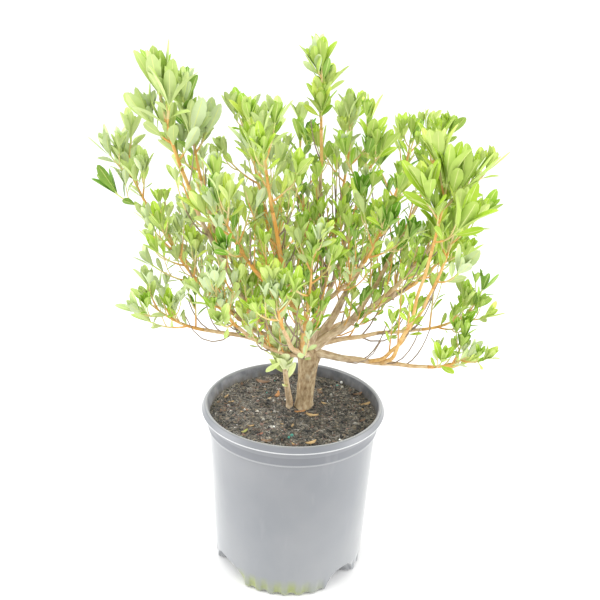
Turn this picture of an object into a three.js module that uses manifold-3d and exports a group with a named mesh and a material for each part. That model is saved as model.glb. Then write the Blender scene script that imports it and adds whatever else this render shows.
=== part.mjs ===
// Azalea shrub in its round nursery pot, in millimetres, +Z up.
// The origin is the centre of the pot's flat underside. Turns are degrees from +X towards +Y.
// On the soil stand a trunk and a thin second stem. Boughs leave the trunk, and each tip bears
// one mass of leaves: twigs grown by a seeded rule from one stem, with the leaves fused on.

import * as THREE from "three";
import { mergeVertices } from "three/addons/utils/BufferGeometryUtils.js";
import Module from "manifold-3d";

const wasm = await Module();
wasm.setup();

const CLEAR = 0.3; // gap between neighbouring solids
const MERGE = 1e-4; // corners nearer than this are one corner
const UP = new THREE.Vector3(0, 0, 1);

// Pot wall, from its foot to the rolled lip
const POT_SIDES = 36;
const POT_HEIGHT = 259;
const BASE_RADIUS = 110.5;
const BODY_TOP_RADIUS = 121.4;
const COLLAR_RADIUS = 123.4;
const COLLAR_DEPTH = 31;
const LIP_RADIUS = 132.5;
const LIP_DEPTH = 9;
const LIP_WIDTH = 9;
const LIP_ROUND = 1.5;
const LIP_SLOPE = 4.5; // how far its outer face leans in
const LIP_UNDERCUT = 1;
const FOOT_CHAMFER = 2.5;
const COLLAR_SLOPE = 2;
const WALL = 2.6;
const FLOOR = 4;

// Coves pressed into the foot of the wall, which leave three feet: the turn and half width of each
const COVES = [[87, 46], [216, 44], [316, 33]];
const COVE_HEIGHT = 26;
const COVE_TOP = 32; // a ring of the wall's corners above the coves
const COVE_REACH_IN = 44;
const COVE_PAST_WALL = 14;
const COVE_END_SHARE = 0.06; // how small a cove has become at its inner end
const COVE_SIDE = [ // [share of half width, share of height]
  [1, -0.2],
  [0.93, 0.22],
  [0.75, 0.62],
  [0.5, 0.9],
  [0.2, 1],
];

// Soil
const SOIL_LEVEL = 242;

// Trunk: places on the plan, and [share of height, radius] from the root flare to the fork
const TRUNK_FOOT = [16, 18];
const TRUNK_TOP = [21, 18, 334];
const TRUNK_SHAPE = [
  [0, 14.6],
  [0.07, 13],
  [0.18, 12.2],
  [0.5, 12.7],
  [0.72, 14.6],
  [0.88, 16.6],
  [1, 13],
];
const TRUNK_SIDES = 12;
const FORK = new THREE.Vector3(21, 18, 327);

// Thin second stem beside the trunk
const STEM_FOOT = [-5.5, 12];
const STEM_TIP = [-14, -32, 330];
const STEM_RADII = [5.2, 3];
const STEM_BENDS = [0.35, 0.7]; // shares of its length

const LIMB_SIDES = 5;
const LIMB_STEPS = 6;
const LIMB_GAP = 0.36; // added to a limb's radius where its neighbour is cut clear of it

// Each bough leaves its parent at a share of its length. Its tip lies at a turn, a distance out and
// a height up from the fork. Droop lowers its middle, as a share of its length, or raises it where it
// is negative. Then come its radius at foot and tip, and of its leaves the stem's length, the side
// twigs' count and their length.
const BOUGHS = [
  ["right_low", "trunk", 0.93, 343, 170, 9, 0.02, 6.5, 2.6, 55, 4, 40],
  ["right_main", "trunk", 0.97, 5, 130, 98, -0.02, 8.5, 3.2, 84, 5, 42],
  ["back_right", "trunk", 0.97, 41, 136, 178, 0.06, 7.5, 2.6, 120, 6, 58],
  ["top_mid", "trunk", 0.98, 27, 37, 214, 0.03, 7, 2.5, 105, 5, 46],
  ["top_left", "trunk", 0.97, 203, 73, 218, 0.05, 6.5, 2.5, 112, 5, 46],
  ["left_tall", "trunk", 0.94, 210, 189, 280, 0.17, 7.5, 2.3, 92, 4, 30],
  ["left_mid", "trunk", 0.92, 194, 142, 98, 0.08, 6.5, 2.5, 100, 8, 54],
  ["left_low", "trunk", 0.84, 195, 152, 48, -0.03, 6.2, 2.5, 80, 6, 46],
  ["centre_front", "trunk", 0.86, 256, 150, 100, 0.08, 6, 2.4, 60, 4, 40],
  ["upper_left", "trunk", 0.95, 245, 126, 238, 0.08, 6, 2.4, 100, 5, 46],
  ["back_left", "trunk", 0.92, 140, 154, 98, 0.06, 6.5, 2.6, 110, 6, 62],
  ["back_centre", "trunk", 0.88, 108, 124, 84, 0.06, 6, 2.6, 115, 6, 62],
  ["right_mid", "right_main", 0.1, 1, 158, 42, -0.02, 4.2, 2.3, 78, 6, 44],
  ["right_far", "right_main", 0.55, 1, 170, 182, 0.06, 4.2, 2.2, 85, 4, 42],
  ["right_top", "right_main", 0.45, 16, 147, 216, 0.07, 4.6, 2.2, 88, 4, 34],
  ["right_big", "right_low", 0.62, 313, 200, 208, 0.17, 3, 1.9, 80, 5, 38],
  ["right_front", "right_low", 0.52, 324, 184, 146, 0.15, 2.9, 1.9, 78, 4, 42],
  ["back_low", "back_right", 0.14, 42, 124, 42, 0.02, 4.6, 2.4, 95, 6, 58],
  ["top_right", "top_mid", 0.16, 322, 60, 208, 0.06, 4.6, 2.2, 102, 5, 48],
  ["leader", "top_mid", 0.4, 281, 14, 322, 0.03, 3.6, 2, 74, 3, 14],
  ["top_centre", "top_mid", 0.22, 105, 58, 190, 0.05, 4.4, 2.3, 100, 5, 50],
  ["centre_right", "top_right", 0.3, 310, 98, 165, 0.06, 3.6, 2.1, 80, 4, 42],
  ["centre", "centre_front", 0.34, 267, 114, 124, 0.08, 3.8, 2.1, 78, 4, 42],
  ["left_front", "centre_front", 0.3, 231, 150, 88, 0.08, 3.9, 2.2, 60, 4, 40],
  ["inner_left", "upper_left", 0.42, 232, 134, 172, 0.05, 3.9, 2.2, 88, 5, 46],
  ["left_inner", "left_tall", 0.5, 201, 156, 260, 0.08, 3.9, 2.1, 92, 4, 28],
  ["far_left", "left_mid", 0.5, 171, 228, 186, 0.08, 4.2, 2.1, 88, 5, 42],
];
const SPROUT = ["sprout", 26, 4, 18]; // the leaves on the second stem

// Twigs
const TWIG_SIDES = 3;
const TWIG_STEPS = 2;
const STEM_RADIUS = 1.9; // of a mass's stem at its foot
const TWIG_TAPER = 0.6;
const SIDE_TWIG_RADIUS = 1.4;
const LIFT = 0.7; // how strongly twigs turn upwards
const GOLDEN_TURN = 137.5;
const SPREAD = [62, 34]; // degrees off the stem, from the lowest side twig to the highest
const SIDE_TWIGS = [0.14, 0.86]; // shares of the stem's length where they leave it
const SIDE_TWIG_SHARES = [1.1, 0.8]; // of the named length, from the lowest to the highest
const VARIED = [0.85, 1.15]; // by which a drawn length or opening differs
const REACH_PAST_TWIG = 38; // from a side twig's end to the border of its mass's space
const BUD_LENGTH = 4;
const BUD_RADII = [2, 1.6];
const SEED = 41;
const SEED_STEP = 100;
const SEED_FACTOR = 69621;
const SEED_OFFSET = 4099;
const DRAW_FACTOR = 48271;
const DRAW_RANGE = 2147483647;

// Leaves, a little larger than life because there are fewer of them. A rosette has an outer and an
// inner whorl of three, and a whorl's opening is in degrees off its twig.
const WHORL = 3;
const LEAF_LENGTH = 46;
const LEAF_WIDTH = 0.42; // share of its length
const LEAF_WIDEST = 0.6;
const LEAF_MIDDLE = 0.35;
const LEAF_THICKNESS = 1.5;
const OUTER_OPENING = 36;
const INNER_OPENING = 15;
const INNER_SHARE = 0.85; // of an outer leaf's length
const LEAF_GAP = 5; // between the points of two leaves, at the least
const LEAF_POINTS = 4; // that stand for a leaf: its sides, tip and middle
const SPACE_MARGIN = 1; // from a mass to the border of its own space
const LIMB_MARGIN = 3; // from a mass to a limb

const radians = THREE.MathUtils.degToRad;
const mix = THREE.MathUtils.lerp;

// A seeded row of draws between 0 and 1.
function seeded(seed) {
  let state = (seed * SEED_FACTOR + SEED_OFFSET) % DRAW_RANGE;
  const draw = () => {
    state = (state * DRAW_FACTOR) % DRAW_RANGE;
    return state / DRAW_RANGE;
  };
  draw();
  draw();
  return draw;
}

// The direction at one point of a path.
function heading(path, i) {
  const before = path[Math.max(i - 1, 0)];
  const after = path[Math.min(i + 1, path.length - 1)];
  return after.clone().sub(before).normalize();
}

// Two directions square to a given one.
function crossPair(along) {
  const away = Math.abs(along.z) < 0.9 ? UP : new THREE.Vector3(1, 0, 0);
  const side = away.clone().cross(along).normalize();
  return [side, along.clone().cross(side)];
}

function shapeOf(corners, faces) {
  const geometry = new THREE.BufferGeometry();
  const positions = corners.flatMap((corner) => corner.toArray());
  geometry.setAttribute("position", new THREE.Float32BufferAttribute(positions, 3));
  geometry.setIndex(faces.flat());
  return geometry;
}

// A closed shape through rings of corners, with a flat cap at each end.
function loft(rings) {
  const count = rings[0].length;
  const faces = [];
  for (let r = 0; r < rings.length - 1; r += 1) {
    for (let k = 0; k < count; k += 1) {
      const a = r * count + k;
      const b = r * count + ((k + 1) % count);
      faces.push([a, b, b + count], [a, b + count, a + count]);
    }
  }
  const last = (rings.length - 1) * count;
  for (let k = 1; k < count - 1; k += 1) {
    faces.push([0, k + 1, k], [last, last + k, last + k + 1]);
  }
  return shapeOf(rings.flat(), faces);
}

// A round tube along a path, with one radius to each point.
function tube(path, radii, sides) {
  let [side] = crossPair(heading(path, 0));
  const rings = path.map((centre, i) => {
    const along = heading(path, i);
    side = side.clone().addScaledVector(along, -side.dot(along)).normalize();
    const other = along.clone().cross(side);
    return Array.from({ length: sides }, (_, k) => {
      const angle = (2 * Math.PI * k) / sides;
      const corner = centre.clone().addScaledVector(side, radii[i] * Math.cos(angle));
      return corner.addScaledVector(other, radii[i] * Math.sin(angle));
    });
  });
  return loft(rings);
}

// A geometry as a solid for cutting and joining.
function solid(geometry) {
  const bare = geometry.clone();
  bare.deleteAttribute("normal");
  bare.deleteAttribute("uv");
  const merged = mergeVertices(bare, MERGE);
  const corners = merged.index.array;
  const faces = [];
  for (let i = 0; i < corners.length; i += 3) {
    const [a, b, c] = [corners[i], corners[i + 1], corners[i + 2]];
    if (a !== b && b !== c && c !== a) faces.push(a, b, c);
  }
  return new wasm.Manifold(new wasm.Mesh({
    numProp: 3,
    vertProperties: new Float32Array(merged.attributes.position.array),
    triVerts: new Uint32Array(faces),
  }));
}

// The largest closed shell of a solid. Loose scraps and sealed hollows are other shells, and go.
function mainShell(body) {
  const mesh = body.getMesh();
  const same = Array.from({ length: mesh.vertProperties.length / 3 }, (_, i) => i);
  mesh.mergeFromVert.forEach((from, i) => {
    same[from] = mesh.mergeToVert[i];
  });
  const faces = [];
  for (let i = 0; i < mesh.triVerts.length; i += 3) {
    faces.push(Array.from(mesh.triVerts.slice(i, i + 3), (corner) => same[corner]));
  }
  const parent = same.map((_, i) => i);
  const root = (i) => {
    let top = i;
    while (parent[top] !== top) top = parent[top];
    parent[i] = top;
    return top;
  };
  for (const [a, b, c] of faces) {
    parent[root(b)] = root(a);
    parent[root(c)] = root(a);
  }
  const corner = (i) => new THREE.Vector3().fromArray(mesh.vertProperties, 3 * i);
  const volumes = new Map();
  for (const face of faces) {
    const [a, b, c] = face.map(corner);
    const key = root(face[0]);
    volumes.set(key, (volumes.get(key) ?? 0) + a.dot(b.cross(c)) / 6);
  }
  const largest = [...volumes].sort((one, two) => two[1] - one[1])[0][0];
  const geometry = new THREE.BufferGeometry();
  geometry.setAttribute("position", new THREE.BufferAttribute(mesh.vertProperties, 3));
  geometry.setIndex(faces.filter((face) => root(face[0]) === largest).flat());
  return geometry;
}

function join(geometries) {
  return geometries.map(solid).reduce((body, piece) => body.add(piece));
}

function cut(body, geometries) {
  return geometries.map(solid).reduce((rest, piece) => rest.subtract(piece), body);
}

// A turned shape: the outline's points are [radius, height], and it starts and ends on the axis.
function turned(outline) {
  const points = outline.map(([radius, height]) => new THREE.Vector2(radius, height));
  const geometry = new THREE.LatheGeometry(points, POT_SIDES);
  geometry.rotateX(Math.PI / 2);
  return geometry;
}

// The cutters for the coves, made larger all round by grow for the inside of the wall.
function coves(grow) {
  const height = COVE_HEIGHT + grow;
  const outline = [...COVE_SIDE, ...COVE_SIDE.map(([across, up]) => [-across, up]).reverse()];
  const ends = [
    [BASE_RADIUS + COVE_PAST_WALL, 1 + COVE_PAST_WALL / COVE_REACH_IN],
    [BASE_RADIUS - COVE_REACH_IN - grow, COVE_END_SHARE],
  ];
  return COVES.map(([turn, halfWidth]) => {
    const wide = halfWidth + grow;
    const rings = ends.map(([radius, share]) => outline.map(([across, up]) => {
      const point = new THREE.Vector3(radius, across * wide * share, up * height * share);
      return point.applyAxisAngle(UP, radians(turn));
    }));
    return loft(rings.reverse());
  });
}

function potBody() {
  const collarFoot = POT_HEIGHT - COLLAR_DEPTH;
  const lipFoot = POT_HEIGHT - LIP_DEPTH;
  const outside = turned([
    [0, 0],
    [BASE_RADIUS - FOOT_CHAMFER, 0],
    [BASE_RADIUS, FOOT_CHAMFER],
    [mix(BASE_RADIUS, BODY_TOP_RADIUS, COVE_TOP / collarFoot), COVE_TOP],
    [BODY_TOP_RADIUS, collarFoot - COLLAR_SLOPE],
    [COLLAR_RADIUS, collarFoot],
    [COLLAR_RADIUS, lipFoot],
    [LIP_RADIUS - LIP_UNDERCUT, lipFoot],
    [LIP_RADIUS, lipFoot + LIP_ROUND],
    [LIP_RADIUS - LIP_SLOPE, POT_HEIGHT],
    [0, POT_HEIGHT],
  ]);
  const inside = cut(solid(turned(hollowOutline(0, POT_HEIGHT + 1))), coves(WALL));
  return mainShell(cut(solid(outside), coves(0)).subtract(inside));
}

// The inside of the wall, drawn in by gap, up to a level above the collar's foot.
function hollowOutline(gap, level) {
  const collarFoot = POT_HEIGHT - COLLAR_DEPTH;
  const base = BASE_RADIUS - WALL - gap;
  const body = BODY_TOP_RADIUS - WALL - gap;
  const mouth = LIP_RADIUS - LIP_WIDTH - gap;
  const share = Math.min((level - collarFoot) / COLLAR_DEPTH, 1);
  return [
    [0, FLOOR + gap],
    [base, FLOOR + gap],
    [mix(base, body, COVE_TOP / collarFoot), COVE_TOP],
    [body, collarFoot],
    [mix(body, mouth, share), level],
    [0, level],
  ];
}

function soilBody() {
  return mainShell(cut(solid(turned(hollowOutline(CLEAR, SOIL_LEVEL))), coves(WALL + CLEAR)));
}

// A point at a share of a path whose steps are of about equal length.
function pointAt(path, share) {
  const place = share * (path.length - 1);
  const i = Math.min(Math.floor(place), path.length - 2);
  return path[i].clone().lerp(path[i + 1], place - i);
}

function trunkLimb() {
  const foot = new THREE.Vector3(...TRUNK_FOOT, SOIL_LEVEL + CLEAR);
  const top = new THREE.Vector3(...TRUNK_TOP);
  const flare = TRUNK_SHAPE[1][0];
  const path = TRUNK_SHAPE.map(([share]) => {
    const lean = Math.max(share - flare, 0) / (1 - flare); // the root flare stands upright
    const point = foot.clone().lerp(top, lean);
    return point.setZ(mix(foot.z, top.z, share));
  });
  return { name: "trunk", path, radii: TRUNK_SHAPE.map(([, radius]) => radius), sides: TRUNK_SIDES };
}

function stemLimb() {
  const foot = new THREE.Vector3(...STEM_FOOT, SOIL_LEVEL + CLEAR);
  const tip = new THREE.Vector3(...STEM_TIP);
  const collar = foot.clone().addScaledVector(UP, STEM_RADII[0]);
  const path = [foot, collar, ...STEM_BENDS.map((share) => pointAt([collar, tip], share)), tip];
  const radii = path.map((_, i) => mix(...STEM_RADII, i / (path.length - 1)));
  return { name: "second_stem", path, radii, sides: LIMB_SIDES };
}

// A bough from its parent to its tip, as one tapering curve.
function boughLimb([name, from, at, turn, out, up, droop, thick, thin], limbs) {
  const parent = limbs.find((limb) => limb.name === from || limb.name === `bough_${from}`);
  const foot = pointAt(parent.path, at);
  const tip = new THREE.Vector3(out, 0, up).applyAxisAngle(UP, radians(turn)).add(FORK);
  const middle = foot.clone().lerp(tip, 0.5).addScaledVector(UP, -2 * droop * foot.distanceTo(tip));
  const path = new THREE.QuadraticBezierCurve3(foot, middle, tip).getSpacedPoints(LIMB_STEPS);
  const radii = path.map((_, i) => mix(thick, thin, i / LIMB_STEPS));
  return { name: `bough_${name}`, path, radii, sides: LIMB_SIDES };
}

// A twig leaves in one direction and turns upwards as it grows.
function twigPath(foot, direction, length, steps) {
  return Array.from({ length: steps + 1 }, (_, i) => {
    const share = i / steps;
    const along = direction.clone().addScaledVector(UP, (LIFT * share) / 2).normalize();
    return foot.clone().addScaledVector(along, share * length);
  });
}

// The direction that leaves a given one at an opening angle and a turn round it, both in degrees.
function branchOff(along, opening, turn) {
  const [side, other] = crossPair(along);
  const [around, open] = [radians(turn), radians(opening)];
  const outward = side.multiplyScalar(Math.cos(around)).addScaledVector(other, Math.sin(around));
  return outward.multiplyScalar(Math.sin(open)).addScaledVector(along, Math.cos(open));
}

// The mass of leaves beyond a limb's tip: its stem, and how far from the stem it may reach.
function massOf(name, limb, seed, [length, twigs, side]) {
  const tip = limb.path.at(-1);
  const along = heading(limb.path, limb.path.length - 1);
  const foot = tip.clone().addScaledVector(along, CLEAR);
  const stem = twigPath(foot, along, length, TWIG_STEPS);
  return { name: `leaves_${name}`, stem, twigs, side, seed, reach: side + REACH_PAST_TWIG };
}

// How far a point is from a path.
function distanceTo(path, point) {
  const nearest = new THREE.Vector3();
  const distances = path.slice(1).map((end, i) => {
    new THREE.Line3(path[i], end).closestPointToPoint(point, true, nearest);
    return nearest.distanceTo(point);
  });
  return Math.min(...distances);
}

// How far a point lies inside a mass's own space, which ends midway to its neighbours' stems.
function insideBy(point, mass, masses) {
  const own = distanceTo(mass.stem, point);
  const others = masses.filter((other) => other !== mass);
  const borders = others.map((other) => (distanceTo(other.stem, point) - own) / 2);
  return Math.min(mass.reach - own, ...borders);
}

// How far a point stays from the nearest limb's surface, taking each limb as thick as its foot.
function clearBy(point, limbs) {
  return Math.min(...limbs.map(({ path, radii }) => distanceTo(path, point) - Math.max(...radii)));
}

function fits(point, mass, masses, limbs) {
  return insideBy(point, mass, masses) > SPACE_MARGIN && clearBy(point, limbs) > LIMB_MARGIN;
}

// The leaves of one rosette as directions and lengths, the outer whorl before the inner one.
function rosetteLeaves(end, along, turn, draw) {
  return Array.from({ length: 2 * WHORL }, (_, k) => {
    const outer = k < WHORL;
    const azimuth = turn + (360 / WHORL) * (k + (outer ? 0 : 0.5));
    const opening = (outer ? OUTER_OPENING : INNER_OPENING) * mix(...VARIED, draw());
    const direction = branchOff(along, opening, azimuth);
    const length = LEAF_LENGTH * (outer ? 1 : INNER_SHARE) * mix(...VARIED, draw());
    const across = along.clone().cross(direction).normalize();
    const upper = direction.clone().cross(across);
    const at = (share, sideways, raised) => end.clone()
      .addScaledVector(direction, share * length)
      .addScaledVector(across, sideways * length)
      .addScaledVector(upper, raised);
    const left = at(LEAF_WIDEST, -LEAF_WIDTH / 2, 0);
    const right = at(LEAF_WIDEST, LEAF_WIDTH / 2, 0);
    const rib = at(LEAF_WIDEST, 0, outer ? LEAF_THICKNESS : -LEAF_THICKNESS);
    return { outer, left, right, rib, tip: at(1, 0, 0), middle: at(LEAF_MIDDLE, 0, 0) };
  });
}

// A twig and its rosette as one closed shape. The bud at its end has a band of six faces, and each
// face that bears a leaf is drawn out into it: first to the leaf's broadest section, then to its tip.
function twigShape(path, radius, turn, draw, fitsHere) {
  const end = path.at(-1);
  const along = heading(path, path.length - 1);
  const centres = [...path.slice(0, -1), end.clone().addScaledVector(along, -BUD_LENGTH), end];
  const radii = centres.map((_, i) => radius * mix(1, TWIG_TAPER, i / (centres.length - 1)));
  radii.splice(-2, 2, ...BUD_RADII);
  const rings = centres.map((centre, i) => {
    const twist = i === centres.length - 1 ? 180 / TWIG_SIDES : 0;
    return Array.from({ length: TWIG_SIDES }, (_, k) => {
      const azimuth = turn + twist + (360 / TWIG_SIDES) * (k - 0.5);
      const square = heading(path, Math.min(i, path.length - 1));
      const outward = branchOff(along, 90, azimuth);
      outward.addScaledVector(square, -outward.dot(square)).normalize();
      return centre.clone().addScaledVector(outward, radii[i]);
    });
  });
  const corners = rings.flat();
  const faces = [[0, 2, 1]];
  const budFoot = TWIG_SIDES * (rings.length - 2);
  for (let first = 0; first < budFoot; first += TWIG_SIDES) {
    for (let k = 0; k < TWIG_SIDES; k += 1) {
      const [a, b] = [first + k, first + ((k + 1) % TWIG_SIDES)];
      faces.push([a, b, b + TWIG_SIDES], [a, b + TWIG_SIDES, a + TWIG_SIDES]);
    }
  }
  const budTip = budFoot + TWIG_SIDES;
  faces.push([budTip, budTip + 1, budTip + 2]);
  rosetteLeaves(end, along, turn, draw).forEach((leaf, k) => {
    const here = k % WHORL;
    const next = (here + 1) % WHORL;
    const root = leaf.outer
      ? [budFoot + here, budFoot + next, budTip + here]
      : [budTip + here, budFoot + next, budTip + next];
    if (!fitsHere([leaf.left, leaf.right, leaf.tip, leaf.middle])) {
      faces.push(root);
      return;
    }
    const section = leaf.outer ? [leaf.left, leaf.right, leaf.rib] : [leaf.left, leaf.rib, leaf.right];
    const first = corners.length;
    corners.push(...section, leaf.tip);
    for (let i = 0; i < 3; i += 1) {
      const j = (i + 1) % 3;
      faces.push([root[i], root[j], first + j], [root[i], first + j, first + i]);
      faces.push([first + i, first + j, first + 3]);
    }
  });
  return shapeOf(corners, faces);
}

// Everything that grows in one mass: the stem and its side twigs in a spiral, each with a rosette.
// A twig or leaf that would leave the mass's space, touch a limb or cross a leaf is skipped.
function massShapes(mass, masses, limbs) {
  const leafPoints = [];
  const fitsHere = (points) => {
    const crosses = (point) => leafPoints.some((other) => other.distanceTo(point) < LEAF_GAP);
    if (points.some(crosses) || !points.every((point) => fits(point, mass, masses, limbs))) return false;
    if (points.length === LEAF_POINTS) leafPoints.push(...points);
    return true;
  };
  const stemDraw = seeded(mass.seed);
  const firstTurn = 360 * stemDraw();
  const shapes = [twigShape(mass.stem, STEM_RADIUS, firstTurn, stemDraw, fitsHere)];
  for (let k = 0; k < mass.twigs; k += 1) {
    const draw = seeded(mass.seed + k + 1);
    const share = k / (mass.twigs - 1);
    const foot = pointAt(mass.stem, mix(...SIDE_TWIGS, share));
    const along = heading(mass.stem, 1);
    const direction = branchOff(along, mix(...SPREAD, share), firstTurn + k * GOLDEN_TURN);
    const length = mass.side * mix(...SIDE_TWIG_SHARES, share) * mix(...VARIED, draw());
    const path = twigPath(foot, direction, length, TWIG_STEPS);
    if (fitsHere(path.slice(1))) {
      shapes.push(twigShape(path, SIDE_TWIG_RADIUS, 360 * draw(), draw, fitsHere));
    }
  }
  return shapes;
}

const plastic = new THREE.MeshStandardMaterial({ color: 0x7d8084, roughness: 0.45 });
const earth = new THREE.MeshStandardMaterial({ color: 0x1e1915, roughness: 1 });
const bark = new THREE.MeshStandardMaterial({ color: 0x8a6a4c, roughness: 0.9 });
const foliage = new THREE.MeshStandardMaterial({ color: 0x6fae3c, roughness: 0.55 });

const shrub = new THREE.Group();

function addNode(name, geometry, material) {
  const mesh = new THREE.Mesh(geometry, material);
  mesh.name = name;
  shrub.add(mesh);
}

addNode("pot", potBody(), plastic);
addNode("soil", soilBody(), earth);

const limbs = [trunkLimb(), stemLimb()];
for (const row of BOUGHS) {
  limbs.push(boughLimb(row, limbs));
}
let taken;
for (const { name, path, radii, sides } of limbs) {
  const body = solid(tube(path, radii, sides));
  addNode(name, mainShell(taken ? body.subtract(taken) : body), bark);
  const grown = solid(tube(path, radii.map((radius) => radius + LIMB_GAP), sides));
  taken = taken ? taken.add(grown) : grown;
}

const masses = [massOf(SPROUT[0], limbs[1], SEED, SPROUT.slice(1))];
BOUGHS.forEach((row, i) => {
  masses.push(massOf(row[0], limbs[i + 2], SEED + SEED_STEP * (i + 1), row.slice(9)));
});
for (const mass of masses) {
  addNode(mass.name, mainShell(join(massShapes(mass, masses, limbs))), foliage);
}

export default shrub;
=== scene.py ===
"""Looks of the potted azalea shrub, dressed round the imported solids.

Shapes are worked out in millimetres, in the solids' own frame, and become metres in Parts.build.
The limbs and the masses of leaves grow by the same seeded rule as the solids. Here each mass carries
finer twigs and thinner leaves within the same reach, and short shoots grow from the boughs.
"""

import math

import bpy
import numpy as np
from mathutils import Matrix, Vector


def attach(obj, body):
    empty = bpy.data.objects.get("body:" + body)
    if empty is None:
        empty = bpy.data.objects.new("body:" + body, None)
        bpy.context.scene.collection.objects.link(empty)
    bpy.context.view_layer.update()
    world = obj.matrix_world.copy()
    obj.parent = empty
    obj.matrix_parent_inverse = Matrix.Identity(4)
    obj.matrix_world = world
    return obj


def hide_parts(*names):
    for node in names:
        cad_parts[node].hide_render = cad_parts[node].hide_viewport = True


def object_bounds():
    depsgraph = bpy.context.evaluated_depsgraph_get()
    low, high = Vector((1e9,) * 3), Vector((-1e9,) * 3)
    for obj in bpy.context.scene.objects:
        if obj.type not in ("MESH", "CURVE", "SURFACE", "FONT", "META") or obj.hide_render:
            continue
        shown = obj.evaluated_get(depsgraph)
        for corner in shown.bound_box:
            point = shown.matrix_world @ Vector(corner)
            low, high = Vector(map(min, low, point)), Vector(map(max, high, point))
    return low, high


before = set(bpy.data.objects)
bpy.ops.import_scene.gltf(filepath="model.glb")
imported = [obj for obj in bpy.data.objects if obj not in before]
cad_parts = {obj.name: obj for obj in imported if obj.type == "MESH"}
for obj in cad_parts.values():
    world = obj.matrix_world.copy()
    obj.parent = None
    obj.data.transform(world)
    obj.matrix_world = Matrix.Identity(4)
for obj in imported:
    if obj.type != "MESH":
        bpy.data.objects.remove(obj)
cad_box = [list(corner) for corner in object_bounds()]

MM = 0.001
UP = np.array([0.0, 0.0, 1.0])
X_AXIS = np.array([1.0, 0.0, 0.0])
NEARLY_UPRIGHT = 0.9
RIPPLES = 7  # waves that make up a relief
RIPPLE_STRETCH = [0.7, 1.4]

# Pot, as in the solids
POT_HEIGHT = 259.0
BASE_RADIUS = 110.5
BODY_TOP_RADIUS = 121.4
COLLAR_DEPTH = 31.0
COVES = [[87, 46], [216, 44], [316, 33]]  # the turn and half width of each
COVE_HEIGHT = 27.0
COVE_REACH_IN = 44.0
COVE_END_SHARE = 0.06
SOIL_LEVEL = 242.0

# Pot, in more detail than the solids
POT_SIDES = 600
COVE_ROUND = 3.2  # how square a cove's outline is
COVE_EASE = 0.9
LEAST_SHARE = 1e-6  # keeps a cove's width above 0
UNDER_START = 0.5  # radius of the underside's innermost ring
UNDER_STEP = 3.0
FOOT_ROUND = 3.0
FOOT_ROWS = 26
FOOT_CROWDING = 1.3  # of its rows towards the edge
FOOT_TOP = 36.0  # height where the rows of the wall become level
WALL_ROWS = 30
SLOTS = 34  # short upright slots round the foot
SLOT_DEPTH = 1.9
SLOT_HEIGHT = 24.0
SLOT_FADE = 1.8  # how late a slot's depth fades towards its top
SLOT_RISE = 2.4  # of the foot's edge at a slot
SLOT_STEEPNESS = 1.7
SLOT_WANDER = 3  # waves round the pot in the slots' spacing
WALL_WAVES = [[0.25, 2, 0.6], [0.15, 5, 2.0]]  # depth, count round the pot and start
WAVE_INSET = 0.4
WAVE_START, WAVE_SPAN = 60, 180  # heights over which the waves set in
GROWTH_HEIGHT = 32.0  # up to where green growth reaches
RIB_GROWTH = 0.45  # share of it between the slots
GROWTH_TURN = 257.0  # it is seen on the front of the foot, a little to the left
GROWTH_SPAN = [46.0, 22.0]  # turns off that at which it starts and is full
# The pot's colour slots. The band is painted shade on the collar below the lip and darkens the lip's roll;
# the line is a painted highlight on the collar's bead and the lip's inner top edge; the fourth slot is a
# painted highlight along the lip's lower outer edge.
WALL, BAND, LINE, HIGHLIGHT, INSIDE = range(5)
# [radius, height, colour slot of the stretch above] from the wall's top over the bead of the collar and the
# rolled lip, and down inside
RIM = [
    [121.3, 223.9, WALL], [121.7, 224.5, WALL], [122.9, 225.0, WALL], [123.9, 225.7, LINE],
    [124.2, 226.7, LINE], [124.0, 228.1, BAND], [123.4, 229.4, BAND], [123.1, 232.0, BAND],
    [123.1, 238.5, WALL], [123.3, 246.6, WALL], [124.1, 248.6, WALL], [126.4, 249.3, WALL],
    [129.6, 249.5, BAND], [131.4, 249.7, HIGHLIGHT], [132.2, 250.2, HIGHLIGHT], [132.5, 251.0, HIGHLIGHT],
    [132.3, 252.0, BAND], [131.4, 253.2, BAND], [130.5, 254.8, BAND], [129.6, 256.6, BAND],
    [128.8, 258.0, BAND], [127.8, 258.8, LINE], [126.4, 259.0, LINE], [125.1, 258.8, WALL],
    [124.2, 258.0, WALL], [123.7, 256.6, INSIDE], [122.9, 252.0, INSIDE], [121.9, 246.0, INSIDE],
    [121.0, 240.0, INSIDE], [120.5, 234.0, INSIDE],
]

# Soil
SOIL_EDGE = 121.6
SOIL_DROP = 0.6
SOIL_CENTRE = 0.4  # radius of its innermost ring
SOIL_STEP = 1.7
SOIL_SIDES = 260
SOIL_CALM = 0.12  # share of the relief that is left at the wall
SOIL_LEVEL_EDGE = 5.0  # width of the smooth edge along the wall
SOIL_RELIEF = [[34.0, 1.3], [12.0, 1.1], [5.0, 0.8], [2.6, 0.45]]  # [wavelength, height]
SOIL_SEED = 900
MOUND = [2.2, 24]  # height and width of the rise round the trunk

# Trunk and second stem, as in the solids
TRUNK_FOOT = [16.0, 18.0]
TRUNK_TOP = [21.0, 18.0, 334.0]
TRUNK_SHAPE = [[0, 14.6], [0.07, 13], [0.18, 12.2], [0.5, 12.7], [0.72, 14.6], [0.88, 16.6], [1, 13]]
FORK = np.array([21.0, 18.0, 327.0])
STEM_FOOT = [-5.5, 12.0]
STEM_TIP = [-14.0, -32.0, 330.0]
STEM_RADII = [5.2, 3.0]
STEM_POINTS = [0.35, 0.7]
CLEAR = 0.3
LIMB_STEPS = 6
BEZIER_STEPS = 200

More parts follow.
